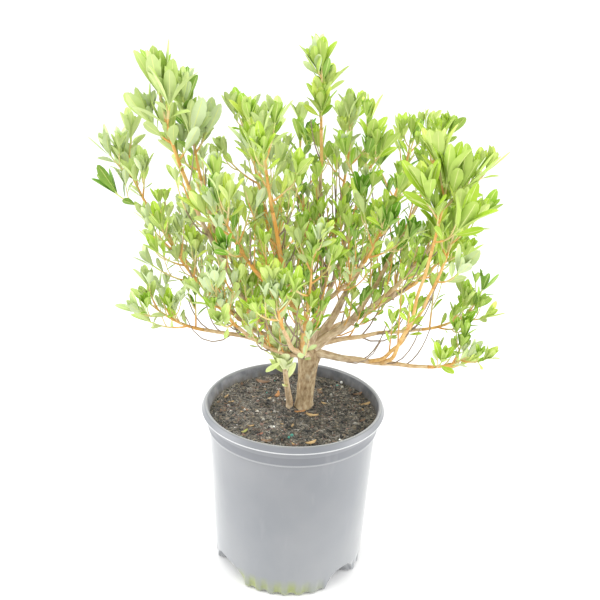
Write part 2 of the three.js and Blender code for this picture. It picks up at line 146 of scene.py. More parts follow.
# Boughs, as in the solids: name, parent, share of the parent's length, then the tip's turn, distance
# out and height from the fork, droop, which is an arch below 0, radius at foot and tip, and of its
# leaves the stem's length, the side twigs' count and their length, and the leaves' length. In the photo
# the longest leaves are on the tall shoots at the left and right, and the shortest low on the plant.
BOUGHS = [
    ["right_low", "trunk", 0.93, 343, 170, 9, 0.02, 6.5, 2.6, 55, 4, 40, 34],
    ["right_main", "trunk", 0.97, 5, 130, 98, -0.02, 8.5, 3.2, 84, 5, 42, 38],
    ["back_right", "trunk", 0.97, 41, 136, 178, 0.06, 7.5, 2.6, 120, 6, 58, 38],
    ["top_mid", "trunk", 0.98, 27, 37, 214, 0.03, 7, 2.5, 105, 5, 46, 40],
    ["top_left", "trunk", 0.97, 203, 73, 218, 0.05, 6.5, 2.5, 112, 5, 46, 40],
    ["left_tall", "trunk", 0.94, 210, 189, 280, 0.17, 7.5, 2.3, 92, 4, 30, 60],
    ["left_mid", "trunk", 0.92, 194, 142, 98, 0.08, 6.5, 2.5, 100, 8, 54, 36],
    ["left_low", "trunk", 0.84, 195, 152, 48, -0.03, 6.2, 2.5, 80, 6, 46, 34],
    ["centre_front", "trunk", 0.86, 256, 150, 100, 0.08, 6, 2.4, 60, 4, 40, 34],
    ["upper_left", "trunk", 0.95, 245, 126, 238, 0.08, 6, 2.4, 100, 5, 46, 40],
    ["back_left", "trunk", 0.92, 140, 154, 98, 0.06, 6.5, 2.6, 110, 6, 62, 38],
    ["back_centre", "trunk", 0.88, 108, 124, 84, 0.06, 6, 2.6, 115, 6, 62, 38],
    ["right_mid", "right_main", 0.1, 1, 158, 42, -0.02, 4.2, 2.3, 78, 6, 44, 34],
    ["right_far", "right_main", 0.55, 1, 170, 182, 0.06, 4.2, 2.2, 85, 4, 42, 44],
    ["right_top", "right_main", 0.45, 16, 147, 216, 0.07, 4.6, 2.2, 88, 4, 34, 42],
    ["right_big", "right_low", 0.62, 313, 200, 208, 0.17, 3, 1.9, 80, 5, 38, 60],
    ["right_front", "right_low", 0.52, 324, 184, 146, 0.15, 2.9, 1.9, 78, 4, 42, 46],
    ["back_low", "back_right", 0.14, 42, 124, 42, 0.02, 4.6, 2.4, 95, 6, 58, 36],
    ["top_right", "top_mid", 0.16, 322, 60, 208, 0.06, 4.6, 2.2, 102, 5, 48, 40],
    ["leader", "top_mid", 0.4, 281, 14, 322, 0.03, 3.6, 2, 74, 3, 14, 46],
    ["top_centre", "top_mid", 0.22, 105, 58, 190, 0.05, 4.4, 2.3, 100, 5, 50, 38],
    ["centre_right", "top_right", 0.3, 310, 98, 165, 0.06, 3.6, 2.1, 80, 4, 42, 36],
    ["centre", "centre_front", 0.34, 267, 114, 124, 0.08, 3.8, 2.1, 78, 4, 42, 36],
    ["left_front", "centre_front", 0.3, 231, 150, 88, 0.08, 3.9, 2.2, 60, 4, 40, 34],
    ["inner_left", "upper_left", 0.42, 232, 134, 172, 0.05, 3.9, 2.2, 88, 5, 46, 40],
    ["left_inner", "left_tall", 0.5, 201, 156, 260, 0.08, 3.9, 2.1, 92, 4, 28, 50],
    ["far_left", "left_mid", 0.5, 171, 228, 186, 0.08, 4.2, 2.1, 88, 5, 42, 46],
]
SPROUT = ["sprout", 26, 4, 18, 40]  # the mass on the second stem

# Twigs, as in the solids
SIDE_TWIG_RADIUS = 1.4
LIFT = 0.7
GOLDEN_TURN = 137.5
SPREAD = [62, 34]
SIDE_TWIGS = [0.14, 0.86]
SIDE_TWIG_SHARES = [1.1, 0.8]
VARIED = [0.85, 1.15]
REACH_PAST_TWIG = 38
SEED = 41
SEED_STEP = 100
SEED_FACTOR = 69621
SEED_OFFSET = 4099
DRAW_FACTOR = 48271
DRAW_RANGE = 2147483647
WHORL = 3
OUTER_OPENING = 36
INNER_OPENING = 15
INNER_SHARE = 0.85
LEAF_LEAN = 0.5  # how strongly leaves turn up to the light

# Finer twigs. The materials of a twig are listed from its foot to its tip.
OLD, STRAW, ORANGE, GREEN = range(4)
TWIG_RINGS = 7
TWIG_SIDES = 6
FINE_RINGS = 5
FINE_SEED = 50  # added to a mass's seed for what only the looks have
TIP_RADII = [1.2, 1.0, 0.7, 0.75]  # of a mass's stem, its side twigs, their twiglets and a shoot
STEM_BARK = [ORANGE, ORANGE, STRAW, GREEN]
SIDE_BARK = [ORANGE, STRAW, GREEN]
TWIGLET_BARK = [STRAW, GREEN]
SINGLE_LEAVES = [4, 2, 1, 5]  # along the same four kinds
STEM_TWIGLETS = [0.35, 0.68]  # shares of a mass's stem where finer twigs leave it
TWIGLETS = [0.58]  # the same on its side twigs
TWIGLET_SHARE = 0.6  # of its parent's length
TWIGLET_OPENING = 44
TWIGLET_RADIUS = 0.95
TWIGLET_WHORL = 6
PARENT_POINT = 3  # of a path, whose heading a twiglet or a tuft follows
TWIG_CLEARANCE = 2
BUD_LENGTH = 6.0
BUD_MIDDLE = 0.45  # share of its length where it is thickest
BUD_SWELL = 1.15
BUD_TIP = 0.15

# Short shoots along the boughs inside the crown. Those on the low right are nearly bare in the photo.
INNER_SHOOTS = {
    "right_low": 0, "right_mid": 3, "right_main": 6, "left_low": 5, "leader": 4, "right_big": 2,
    "right_front": 2, "back_low": 4, "upper_left": 16, "inner_left": 12, "left_mid": 14, "left_front": 8,
    "centre": 10, "centre_right": 10, "centre_front": 2, "top_mid": 15, "top_left": 13, "left_tall": 19,
    "back_left": 13, "far_left": 13, "top_centre": 12,
}
USUAL_SHOOTS = 8
SHOOT_SEED = 99  # added to a mass's seed for the shoots along its bough
SHOOT_STEP = 8.0  # between the points of a bough that shoots may leave from
SHOOT_SPAN = [0.22, 0.96]  # shares of the bough's length
SHOOT_LENGTHS = [38.0, 105.0]
SHOOT_LIFT = 2.0
SHOOT_OPENINGS = [24, 56]
SHOOT_DEPTH = 0.86  # share of the way to the nearest mass's tip that a shoot may reach
SHOOT_LEAVES = [17.0, 28.0]  # lengths
SHOOT_SINGLES = (0.35, 0.95)  # shares of its length between which single leaves sit
SHOOT_WHORL = 5
SHOOT_RADIUS = 1.2
SHOOT_CLEARANCE = 3
YOUNG_SHOOTS = 0.65  # share of the shoots whose bark is orange
OLD_SHOOT_BARK = [OLD, STRAW, GREEN]
BARE_TWIGS = {
    "right_low": 5, "right_mid": 5, "right_main": 5, "left_low": 4, "centre_front": 4, "left_mid": 3,
}
USUAL_BARE_TWIGS = 2
BARE_RADIUS = 1.0
STEM_LEAVES = 4  # single leaves on the second stem
STEM_LEAF_SPAN = [0.55, 1.0]
STEM_TUFTS = [[0.96, 58, 8], [0.82, 52, 7]]  # upright leaves on it: share along it, length, count
TUFT_LEAN = np.array([-0.02, 0.12, 0.0])  # they lean clear of the boughs

# Leaves: half widths along the length as shares of the broadest, and the columns across
LEAF_STATIONS = [0.0, 0.12, 0.27, 0.44, 0.62, 0.8, 0.94]
LEAF_WIDTHS = [0.12, 0.17, 0.49, 0.83, 1.0, 0.86, 0.48]
LEAF_COLUMNS = [-1.0, -0.52, -0.07, 0.07, 0.52, 1.0]
LEAF_SHAPES = [0.36, 0.27]  # width as a share of the length, on the shortest and on the longest leaves
LEAF_BREADTHS = [0.88, 1.14]
SHORT_LEAF = 18.0
LONG_LEAF = 60.0
LEAF_SHEET = 0.3  # between its two faces
LEAF_ROLL = 0.6
LEAF_FOLDS = [0.1, 0.42]
OUTER_CURLS = [-0.16, 0.24]
INNER_CURLS = [-0.2, 0.1]
WIDE_OPENING = 30  # past which a leaf curls as an outer one
CURL_BALANCE = 0.55
MIDRIB_DEPTH = 0.035
LEAF_MARGIN = 3.0  # how far a leaf may pass the solids' box
LEAF_MIDDLE = 0.6  # share of its length that is checked as well as its tip
LEAF_CLEARANCE = 1.0
SHORTER = [1.0, 0.82, 0.66]  # lengths tried where a leaf would reach too far
YOUNG_LEAVES = 2  # in the heart of a whorl
YOUNG_LENGTHS = [0.4, 0.62]
YOUNG_OPENINGS = [4, 14]
SIDE_LENGTHS = [0.78, 1]  # of a side twig's leaves, as shares of the stem's
TWIGLET_LENGTHS = [0.55, 0.8]
ALTERNATE_OPENING = 58
ALTERNATE_LENGTHS = [0.6, 0.92]
ALTERNATE_SPAN = (0.3, 0.92)
ALTERNATE_SHIFT = 0.6  # share of the gap to the next leaf that each may move
LAST_ALTERNATE = 0.97
ALTERNATE_POINT = 2  # of a path, whose heading its single leaves follow

LEAF_TONES = {  # name: [upper face, its variation, underside]
    "bright": [(0.45, 0.57, 0.07), (0.53, 0.64, 0.13), (0.53, 0.65, 0.19)],
    "fresh": [(0.35, 0.52, 0.04), (0.43, 0.59, 0.07), (0.45, 0.60, 0.13)],
    "mid": [(0.24, 0.43, 0.03), (0.32, 0.50, 0.05), (0.37, 0.53, 0.10)],
    # deep: painted shade, dark leaves dealt out as if they lay in shadow
    "deep": [(0.11, 0.27, 0.015), (0.17, 0.35, 0.03), (0.26, 0.43, 0.08)],
    # pale and soft: painted light, leaves washed pale as if backlit; they are dealt out mostly on the left
    "pale": [(0.45, 0.56, 0.24), (0.54, 0.64, 0.33), (0.56, 0.66, 0.37)],
    "soft": [(0.42, 0.55, 0.14), (0.50, 0.62, 0.21), (0.52, 0.63, 0.25)],
    # cream: pale leaves, made brighter still as painted light against the shade they sit in
    "cream": [(0.62, 0.74, 0.28), (0.80, 0.86, 0.50), (0.84, 0.92, 0.50)],  # on the second stem only
}
RIB_COLOUR = (0.66, 0.72, 0.28)
TONES = list(LEAF_TONES)
CREAM = TONES.index("cream")
# Shares of the sprays, in the tones' order, low and high in the crown
RIGHT_SHARES = np.array([[0.20, 0.34, 0.26, 0.12, 0.08, 0.0], [0.42, 0.32, 0.14, 0.06, 0.06, 0.0]])
# on the left most sprays take the pale and soft tones, which are painted light
LEFT_SHARES = np.array([[0.02, 0.05, 0.06, 0.03, 0.54, 0.3], [0.06, 0.12, 0.1, 0.04, 0.08, 0.6]])
LOW, HIGH = 520.0, 680.0  # heights between which low sprays give way to high ones
RIGHT, LEFT = 120.0, -140.0  # the same from side to side
LAST_SHARE = 0.999  # keeps every draw within the tones

ZONES = {
    "left": ["left_tall", "left_mid", "left_low", "left_inner", "far_left"],
    "front": ["centre_front", "upper_left", "inner_left", "centre", "left_front", "sprout"],
    "right": ["right_low", "right_main", "right_mid", "right_far", "right_top", "right_big", "right_front"],
    "top": ["top_mid", "top_left", "top_right", "leader", "top_centre", "centre_right"],
    "back": ["back_right", "back_left", "back_centre", "back_low"],
}

# Bark. Its age is 0 on the trunk, 1 on a young bough and up to 1.5 where it is strong orange.
BARK_STEP = 3.0
BOUGH_SWING = 0.006
SWING_WAVES = [1.6, 3.4]
SWING_STARTS = [0, 6]
TAPER = 1.6  # how early a bough thins out
FOOT_FLARE = [0.4, 16]  # of a bough: how much wider its foot is, and how soon that fades
TRUNK_SINK = 5  # into the soil
TRUNK_FLARE = 1.06
TRUNK_CLOSING = [[3, 0.8], [5, 0.4]]  # height above its top, and width there
STEM_SINK = 4
TRUNK_SIDES, STEM_SIDES, BOUGH_SIDES = 56, 20, 16
THICK_RELIEF, BOUGH_RELIEF = 0.05, 0.04
RIDGED = np.array([1.0, 1.0, 0.16])
# Share, seed, wavelength and stretch of each layer of the bark's relief
BARK_RELIEF = [[0.55, 0, 7.0, RIDGED], [0.4, 30, 3.4, RIDGED], [0.5, 70, 26.0, 1.0]]
GRAIN_SHIFT = 40.0  # of the pattern from limb to limb
TRUNK_AGE, STEM_AGE, OLD_BOUGH_AGE, DARK_FOOT_AGE = 0.0, 0.5, 0.45, 0.12
OLD_RADIUS, YOUNG_RADIUS = 5.0, 2.8  # between them grey bark gives way to the orange bark of a young bough
RIPENESS = {  # how orange a bough is where it is thin, strongest where the photo shows it so
    "right_big": 1, "right_front": 1, "left_tall": 1, "leader": 1, "top_mid": 1, "centre": 1,
    "upper_left": 2, "inner_left": 2, "top_left": 2,
}
USUAL_RIPENESS = 0.35
DARK_FEET = {"left_tall": 0.74, "leader": 0.66}  # boughs that are dark below a share of their length
DARK_FADE = 0.14
# Branches that were cut off: bough, share of its length, opening off it and turn, length and radius
STUBS = [
    ["right_main", 0.86, 28, 100, 15, 4.6],
    ["left_mid", 0.3, 48, 250, 11, 3.4],
    ["upper_left", 0.22, 55, 80, 10, 3.2],
]
STUB_SHAPE = [[0, 1.35], [0.3, 1.05], [0.7, 1], [0.97, 1.02], [1, 0.9], [1.001, 0.8]]
STUB_AGES = [0.35, 0.35, 0.35, 0.4, 1.0, 1.0]
STUB_SIDES = 14
STUB_RELIEF = [0.09, 5, 6.0]  # depth, seed and wavelength

# Litter on the soil
LITTER_SEED = 17
CRUMBS = 2600
CRUMB_POINTS = np.array([[1, 0, 0], [0, 1, 0], [-1, 0, 0], [0, -1, 0], [0, 0, 1], [0, 0, -1]], dtype=float)
CRUMB_FACES = [[0, 1, 4], [1, 2, 4], [2, 3, 4], [3, 0, 4], [1, 0, 5], [2, 1, 5], [3, 2, 5], [0, 3, 5]]
CRUMB_SIZES = [0.9, 1.4, 2.2, 3.4]
CRUMB_SHARES = [0.4, 0.35, 0.2, 0.05]
CRUMB_VARIED = [0.6, 1.3]
CRUMB_SHAPE = np.array([1.2, 1.0, 0.7])
CRUMB_MARGIN = 4
FIBRES = 1500
FIBRE_LENGTHS = [3, 15]
FIBRE_BEND = 0.35
FIBRE_ARCH = 0.1
FIBRE_LIFTS = [0.1, 1.4]
FIBRE_RADII = [0.15, 0.36, 0.4, 0.34, 0.12]
FIBRE_SIDES = 4
FIBRE_MARGIN = 9
CHIPS = 26
CHIP_SIZES = [2, 5]
CHIP_ACROSS = [-1, -0.4, 0.4, 1]
CHIP_ALONG = [-1, -0.5, 0, 0.5, 1]
CHIP_WIDTHS = [0.14, 0.34, 0.4, 0.36, 0.12]
CHIP_VARIED = [0.8, 1.2]
CHIP_CURL = [0.22, 0.16]  # along and across
CHIP_LIFT = 0.3
CHIP_THICKNESS = 0.6
PEARLS = 14
PEARL_MARGIN = 14
PEARL_SIZES = [0.9, 1.5]
PEARLS_TO_BEAD = 4  # one grain in so many is a bead
GRAIN_SHAPE = [[-1, 0.15], [-0.7, 0.72], [0, 1], [0.7, 0.72], [1, 0.15]]
GRAIN_SIDES = 9
GRAIN_RISE = 0.35
GRAIN_VARIED = [0.9, 1.1]
DARK_LITTER = [
    (0.04, 0.041, 0.04), (0.11, 0.105, 0.095), (0.22, 0.18, 0.13), (0.24, 0.16, 0.13), (0.38, 0.36, 0.32),
]
DARK_SHARES = [0.30, 0.34, 0.18, 0.06, 0.12]
FIBRE_SHARES = [0.16, 0.34, 0.26, 0.08, 0.16]
BRIGHT_LITTER = {
    "chip_tan": (0.52, 0.36, 0.18), "chip_brown": (0.20, 0.13, 0.085), "chip_orange": (0.44, 0.22, 0.09),
    "pearl": (0.78, 0.78, 0.76), "bead": (0.10, 0.34, 0.27), "lime": (0.38, 0.38, 0.12),
    "rust": (0.28, 0.13, 0.09),
}
LITTER_KINDS = len(DARK_LITTER) + len(BRIGHT_LITTER)
CHIP_TAN, CHIP_BROWN, CHIP_ORANGE, PEARL, BEAD, LIME, RUST = range(len(DARK_LITTER), LITTER_KINDS)
# Flakes and grains that stand out in the photo: place on the plan, size, a flake's turn, and colour
MARKS = [
    [-101, 35, 5, 60, CHIP_TAN], [-92, 20, 4, 20, CHIP_TAN], [-25, 47, 9, 80, CHIP_ORANGE],
    [10, -1, 8, 15, CHIP_ORANGE], [28, -12, 9, 350, CHIP_TAN], [18, -8, 6, 60, CHIP_BROWN],
    [97, 58, 8, 30, CHIP_BROWN], [106, 29, 9, 25, CHIP_TAN], [102, 11, 5, 80, CHIP_TAN],
    [26, -86, 8, 30, CHIP_TAN], [-34, -83, 8, 5, CHIP_BROWN], [-44, -71, 5, 40, RUST],
    [-66, -62, 6, 50, LIME], [0, -43, 4, 70, CHIP_TAN], [4, -89, 5, 10, RUST], [100, -21, 5, 30, CHIP_BROWN],
    [-49, 88, 11, 170, CHIP_BROWN], [40, 60, 7, 120, CHIP_BROWN], [-70, 0, 7, 140, CHIP_BROWN],
]
GRAINS = [
    [74, 94, 2.4, PEARL], [67, 83, 2.2, BEAD], [0, -72, 2.6, BEAD],
    [-4, -76, 2.0, BEAD], [-12, 30, 1.6, PEARL],
]

# Colours of the other materials. A ramp is a row of [place, colour].
BARK_COLOUR = (0.3, 0.2, 0.13)  # plain, under the ramps
INNER_COLOUR = (0.12, 0.125, 0.135)
SOIL_COLOUR = (0.08, 0.075, 0.065)
BROWN_BARK = [[0.3, (0.19, 0.12, 0.065)], [0.5, (0.36, 0.265, 0.15)], [0.72, (0.53, 0.43, 0.28)]]
GREY_BARK = [[0.3, (0.33, 0.23, 0.14)], [0.5, (0.52, 0.40, 0.26)], [0.72, (0.68, 0.57, 0.41)]]
YOUNG_BARK = [[0.3, (0.55, 0.29, 0.08)], [0.6, (0.72, 0.47, 0.18)]]
VIVID_BARK = (0.76, 0.37, 0.09)
LICHEN = (0.58, 0.54, 0.40)
TWIG_COLOURS = {  # in the order of OLD, STRAW, ORANGE, GREEN
    "twig_old": [(0.22, 0.165, 0.12), (0.36, 0.28, 0.21)],
    "twig_straw": [(0.58, 0.46, 0.18), (0.68, 0.57, 0.30)],
    "twig_orange": [(0.60, 0.31, 0.08), (0.70, 0.43, 0.15)],
    "twig_green": [(0.46, 0.56, 0.12), (0.58, 0.66, 0.22)],
}
POT_COLOURS = {  # in the order of the wall, the band, the line and the lip's edge: the band is painted shade, the line and the edge are painted highlights
    "pot_plastic": [(0.165, 0.175, 0.191), (0.205, 0.211, 0.223)],
    "pot_band": [(0.125, 0.135, 0.152), (0.16, 0.166, 0.18)],
    "pot_line": [(0.22, 0.228, 0.24), (0.28, 0.286, 0.295)],
    "pot_painted_highlight": [(0.42, 0.43, 0.44), (0.52, 0.525, 0.53)],
}
SCUFF = (0.36, 0.36, 0.36)
GROWTH = (0.235, 0.275, 0.07)
INNER_DUST = [[0.35, (0.075, 0.08, 0.088)], [0.7, (0.15, 0.154, 0.162)]]
INNER_STAIN = (0.075, 0.066, 0.056)
SOIL_COLOURS = [
    [0.34, (0.042, 0.043, 0.041)], [0.52, (0.125, 0.118, 0.105)],
    [0.66, (0.25, 0.225, 0.185)], [0.8, (0.42, 0.38, 0.32)],
]
DAMP_AND_DRY = [[0.36, (0.5, 0.5, 0.5)], [0.64, (1.25, 1.22, 1.18)]]  # patches of the soil
SOIL_LEFT_LIGHT, WALL_LEFT_LIGHT = 1.55, 2.3  # how much paler painted light makes them at the left
LEFT_LIGHT_SPAN = [0.03, -0.12]  # metres from side to side over which the painted light sets in
LEFT_LIGHT_BLUE = 1.03  # the painted light is slightly cool

# A Mix node's sockets for the share, the two colours and the result
MIX_INPUTS, MIX_OUTPUT = (0, 6, 7), 2

# Stage
CAMERA_PLACE = (4.4, -1027.0, 819.0)
CAMERA_TILT = 21.44  # degrees below the horizon
CAMERA_ROLL = 2.06
CAMERA_LENS = 48.0
CAMERA_SENSOR = 36.0
FLOOR_SIZE = 600.0
FLOOR_DROP = 0.0005
FLOOR_ALBEDO = 0.74
WORLD_STRENGTH = 1.66
LAMPS = [  # name, place, size and power
    ["left", (-2.0, -0.3, 1.0), 1.5, 26.0],
    ["right", (2.0, -0.3, 1.0), 1.5, 26.0],
    ["top", (-0.4, -0.5, 2.6), 1.4, 16.0],
]
LAMP_TARGET = (0.0, 0.0, 0.42)


def mix(a, b, share):
    return a + (b - a) * share


def share_of(value, start, end):
    """How far a value has gone from start to end, from 0 to 1."""
    return min(max((value - start) / (end - start), 0), 1)


def unit(vector):
    return vector / np.linalg.norm(vector)


def turned(vector, degrees):
    """The vector turned about the upright axis."""
    c, s = math.cos(math.radians(degrees)), math.sin(math.radians(degrees))
    return np.array([c * vector[0] - s * vector[1], s * vector[0] + c * vector[1], vector[2]])


def seeded(seed):
    """A seeded row of draws between 0 and 1, as in the solids."""
    state = (seed * SEED_FACTOR + SEED_OFFSET) % DRAW_RANGE

    def draw():
        nonlocal state
        state = (state * DRAW_FACTOR) % DRAW_RANGE
        return state / DRAW_RANGE

    draw()
    draw()
    return draw


def heading(path, i):
    return unit(path[min(i + 1, len(path) - 1)] - path[max(i - 1, 0)])


def tip_heading(path):
    return heading(path, len(path) - 1)


def cross_pair(along):
    away = UP if abs(along[2]) < NEARLY_UPRIGHT else X_AXIS
    side = unit(np.cross(away, along))
    return side, np.cross(along, side)


def branch_off(along, opening, turn):
    """The direction at an opening angle off a given one and a turn round it, both in degrees."""
    side, other = cross_pair(along)
    around, wide = math.radians(turn), math.radians(opening)
    outward = side * math.cos(around) + other * math.sin(around)
    return outward * math.sin(wide) + along * math.cos(wide)


def point_at(path, share):
    place = share * (len(path) - 1)
    i = min(int(place), len(path) - 2)
    return mix(path[i], path[i + 1], place - i)


def run_along(path):
    """The distance gone at each point of a path."""
    return np.concatenate([[0], np.cumsum(np.linalg.norm(np.diff(path, axis=0), axis=1))])


def twig_path(foot, direction, length, steps=TWIG_RINGS, lift=LIFT):
    """A twig leaves in one direction and turns upwards as it grows."""
    shares = [i / steps for i in range(steps + 1)]
    return np.array([foot + unit(direction + UP * lift * s / 2) * s * length for s in shares])


def distances(starts, ends, point):
    """How far a point stays from each of some straight spans."""
    spans = ends - starts
    share = np.sum((point - starts) * spans, axis=1) / np.sum(spans**2, axis=1)
    return np.linalg.norm(starts + np.clip(share, 0, 1)[:, None] * spans - point, axis=1)


def ripple(points, seed, wavelength):
    """Smooth irregular relief between about -1 and 1 at each point."""
    rng = np.random.default_rng(seed)
    total = np.zeros(len(points))
    for _ in range(RIPPLES):
        direction = unit(rng.normal(size=3))
        stretch = rng.uniform(*RIPPLE_STRETCH)
        phase = rng.uniform(0, 2 * math.pi)
        total += np.sin(2 * math.pi * stretch / wavelength * (points @ direction) + phase)
    return total / math.sqrt(RIPPLES * 2)


class Parts:
    """Points and faces of one piece, gathered shape by shape."""

    def __init__(self):
        self.points, self.quads, self.tris = [], [], []
        self.quad_slots, self.tri_slots = [], []
        self.fields = {}
        self.count = 0

    def add(self, points, quads, tris, quad_slots=0, tri_slots=0, **fields):
        self.points.append(points)
        self.quads.append(np.reshape(quads, (-1, 4)).astype(int) + self.count)
        self.tris.append(np.reshape(tris, (-1, 3)).astype(int) + self.count)
        self.quad_slots.append(np.broadcast_to(quad_slots, len(self.quads[-1])))
        self.tri_slots.append(np.broadcast_to(tri_slots, len(self.tris[-1])))
        for name, values in fields.items():
            self.fields.setdefault(name, []).append(values)
        self.count += len(points)

    def build(self, name, slot, materials, nodes):
        """Makes the piece, which rides on the root and stands for the solids named."""
        quads, tris = np.concatenate(self.quads), np.concatenate(self.tris)
        mesh = bpy.data.meshes.new(name)
        mesh.vertices.add(self.count)
        mesh.vertices.foreach_set("co", (np.concatenate(self.points) * MM).ravel())
        mesh.loops.add(quads.size + tris.size)
        mesh.loops.foreach_set("vertex_index", np.concatenate([quads.ravel(), tris.ravel()]))
        mesh.polygons.add(len(quads) + len(tris))
        starts = np.concatenate([np.arange(len(quads)) * 4, quads.size + np.arange(len(tris)) * 3])
        mesh.polygons.foreach_set("loop_start", starts)
        slots = np.concatenate(self.quad_slots + self.tri_slots)
        mesh.polygons.foreach_set("material_index", slots)
        mesh.polygons.foreach_set("use_smooth", np.ones(len(slots), dtype=bool))
        for field, values in self.fields.items():
            kind = "FLOAT" if values[0].ndim == 1 else "FLOAT_VECTOR"
            key = "value" if kind == "FLOAT" else "vector"
            mesh.attributes.new(field, kind, "POINT").data.foreach_set(key, np.concatenate(values).ravel())
        mesh.update(calc_edges=True)
        for material in materials:
            mesh.materials.append(material)
        piece = bpy.data.objects.new(name, mesh)
        bpy.context.scene.collection.objects.link(piece)
        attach(piece, "root")
        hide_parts(*nodes)


def ring_quads(rings, sides, closed=True):
    """The faces between neighbouring rings of points."""
    columns = np.arange(sides if closed else sides - 1)
    following = (columns + 1) % sides
    first = (np.arange(rings - 1) * sides)[:, None]
    corners = [first + columns, first + following, first + sides + following, first + sides + columns]
    return np.stack(corners, axis=-1).reshape(-1, 4)


def cap_tris(first, sides, flip):
    """A fan over one ring, round its first corner."""
    fan = [[first, first + k, first + k + 1] for k in range(1, sides - 1)]
    return [face[::-1] for face in fan] if flip else fan


def round_plan(sides):
    """The turns of the corners of a ring, and their places on a circle of radius 1."""
    angles = 2 * math.pi * np.arange(sides) / sides
    return angles, np.stack([np.cos(angles), np.sin(angles)], axis=-1)


def sweep(path, radii, sides, relief=None):
    """A round tube along a path. Returns its points, faces, caps and straightened coordinates."""
    side, _ = cross_pair(heading(path, 0))
    _, plan = round_plan(sides)
    straight = np.concatenate([
        np.column_stack([radius * plan, np.full(sides, run)]) for radius, run in zip(radii, run_along(path))
    ])
    swell = np.ones(len(straight)) if relief is None else 1 + relief(straight)
    swell = swell.reshape(-1, sides)
    rings = []
    for i, centre in enumerate(path):
        along = heading(path, i)
        side = unit(side - along * side.dot(along))
        other = np.cross(along, side)
        reach = (radii[i] * swell[i])[:, None]
        rings.append(centre + reach * (plan[:, :1] * side + plan[:, 1:] * other))
    last = (len(path) - 1) * sides
    caps = cap_tris(0, sides, True) + cap_tris(last, sides, False)
    return np.concatenate(rings), ring_quads(len(path), sides), caps, straight


def smooth_path(path, step):
    """A finer path through the same points, by Catmull-Rom spans."""
    points = [2 * path[0] - path[1], *path, 2 * path[-1] - path[-2]]
    fine = []
    for a, b, c, d in zip(points, points[1:], points[2:], points[3:]):
        bend, twist = 2 * a - 5 * b + 4 * c - d, 3 * b - a - 3 * c + d
        count = max(int(np.linalg.norm(c - b) / step), 1)
        for t in np.arange(count) / count:
            fine.append(0.5 * (2 * b + (c - a) * t + bend * t**2 + twist * t**3))
    return np.array([*fine, path[-1]])


# Limbs, by the solids' rule


def trunk_limb():
    foot = np.array([*TRUNK_FOOT, SOIL_LEVEL + CLEAR])
    top = np.array(TRUNK_TOP)
    flare = TRUNK_SHAPE[1][0]
    path = []
    for share, _ in TRUNK_SHAPE:
        point = mix(foot, top, max(share - flare, 0) / (1 - flare))
        path.append(np.array([point[0], point[1], mix(foot[2], top[2], share)]))
    return {"name": "trunk", "path": path, "radii": [radius for _, radius in TRUNK_SHAPE]}


def stem_limb():
    foot = np.array([*STEM_FOOT, SOIL_LEVEL + CLEAR])
    collar = foot + UP * STEM_RADII[0]
    tip = np.array(STEM_TIP)
    path = [foot, collar, *(mix(collar, tip, share) for share in STEM_POINTS), tip]
    radii = [mix(*STEM_RADII, i / (len(path) - 1)) for i in range(len(path))]
    return {"name": "second_stem", "path": path, "radii": radii}


def spaced_bezier(a, b, c):
    """Points at even distances along a quadratic curve."""
    t = np.linspace(0, 1, BEZIER_STEPS + 1)[:, None]
    fine = (1 - t) ** 2 * a + 2 * t * (1 - t) * b + t**2 * c
    run = run_along(fine)
    wanted = np.linspace(0, run[-1], LIMB_STEPS + 1)
    return [np.array([np.interp(w, run, fine[:, k]) for k in range(3)]) for w in wanted]


def bough_limb(row, limbs):
    name, parent, at, turn, out, up, droop, thick, thin = row[:9]
    carrier = limbs[parent] if parent == "trunk" else limbs[f"bough_{parent}"]
    foot = point_at(carrier["path"], at)
    tip = turned(np.array([out, 0.0, up]), turn) + FORK
    middle = (foot + tip) / 2 - UP * 2 * droop * np.linalg.norm(tip - foot)
    radii = [mix(thick, thin, i / LIMB_STEPS) for i in range(LIMB_STEPS + 1)]
    return {"name": f"bough_{name}", "path": spaced_bezier(foot, middle, tip), "radii": radii}


def all_limbs():
    limbs = {"trunk": trunk_limb(), "second_stem": stem_limb()}
    for row in BOUGHS:
        limbs[f"bough_{row[0]}"] = bough_limb(row, limbs)
    return limbs


def mass_of(name, limb, seed, sizes):
    """The mass of leaves beyond a limb's tip, and how far from its stem it may reach."""
    length, twigs, side, leaf = sizes
    along = tip_heading(limb["path"])
    stem = twig_path(limb["path"][-1] + along * CLEAR, along, length)
    return {
        "name": name, "stem": stem, "twigs": twigs, "side": side, "seed": seed,
        "radius": limb["radii"][-1], "reach": side + REACH_PAST_TWIG, "leaf": leaf,
    }


def all_masses(limbs):
    masses = [mass_of(SPROUT[0], limbs["second_stem"], SEED, SPROUT[1:])]
    for i, row in enumerate(BOUGHS):
        masses.append(mass_of(row[0], limbs[f"bough_{row[0]}"], SEED + SEED_STEP * (i + 1), row[9:]))
    return masses


# Twigs and leaves


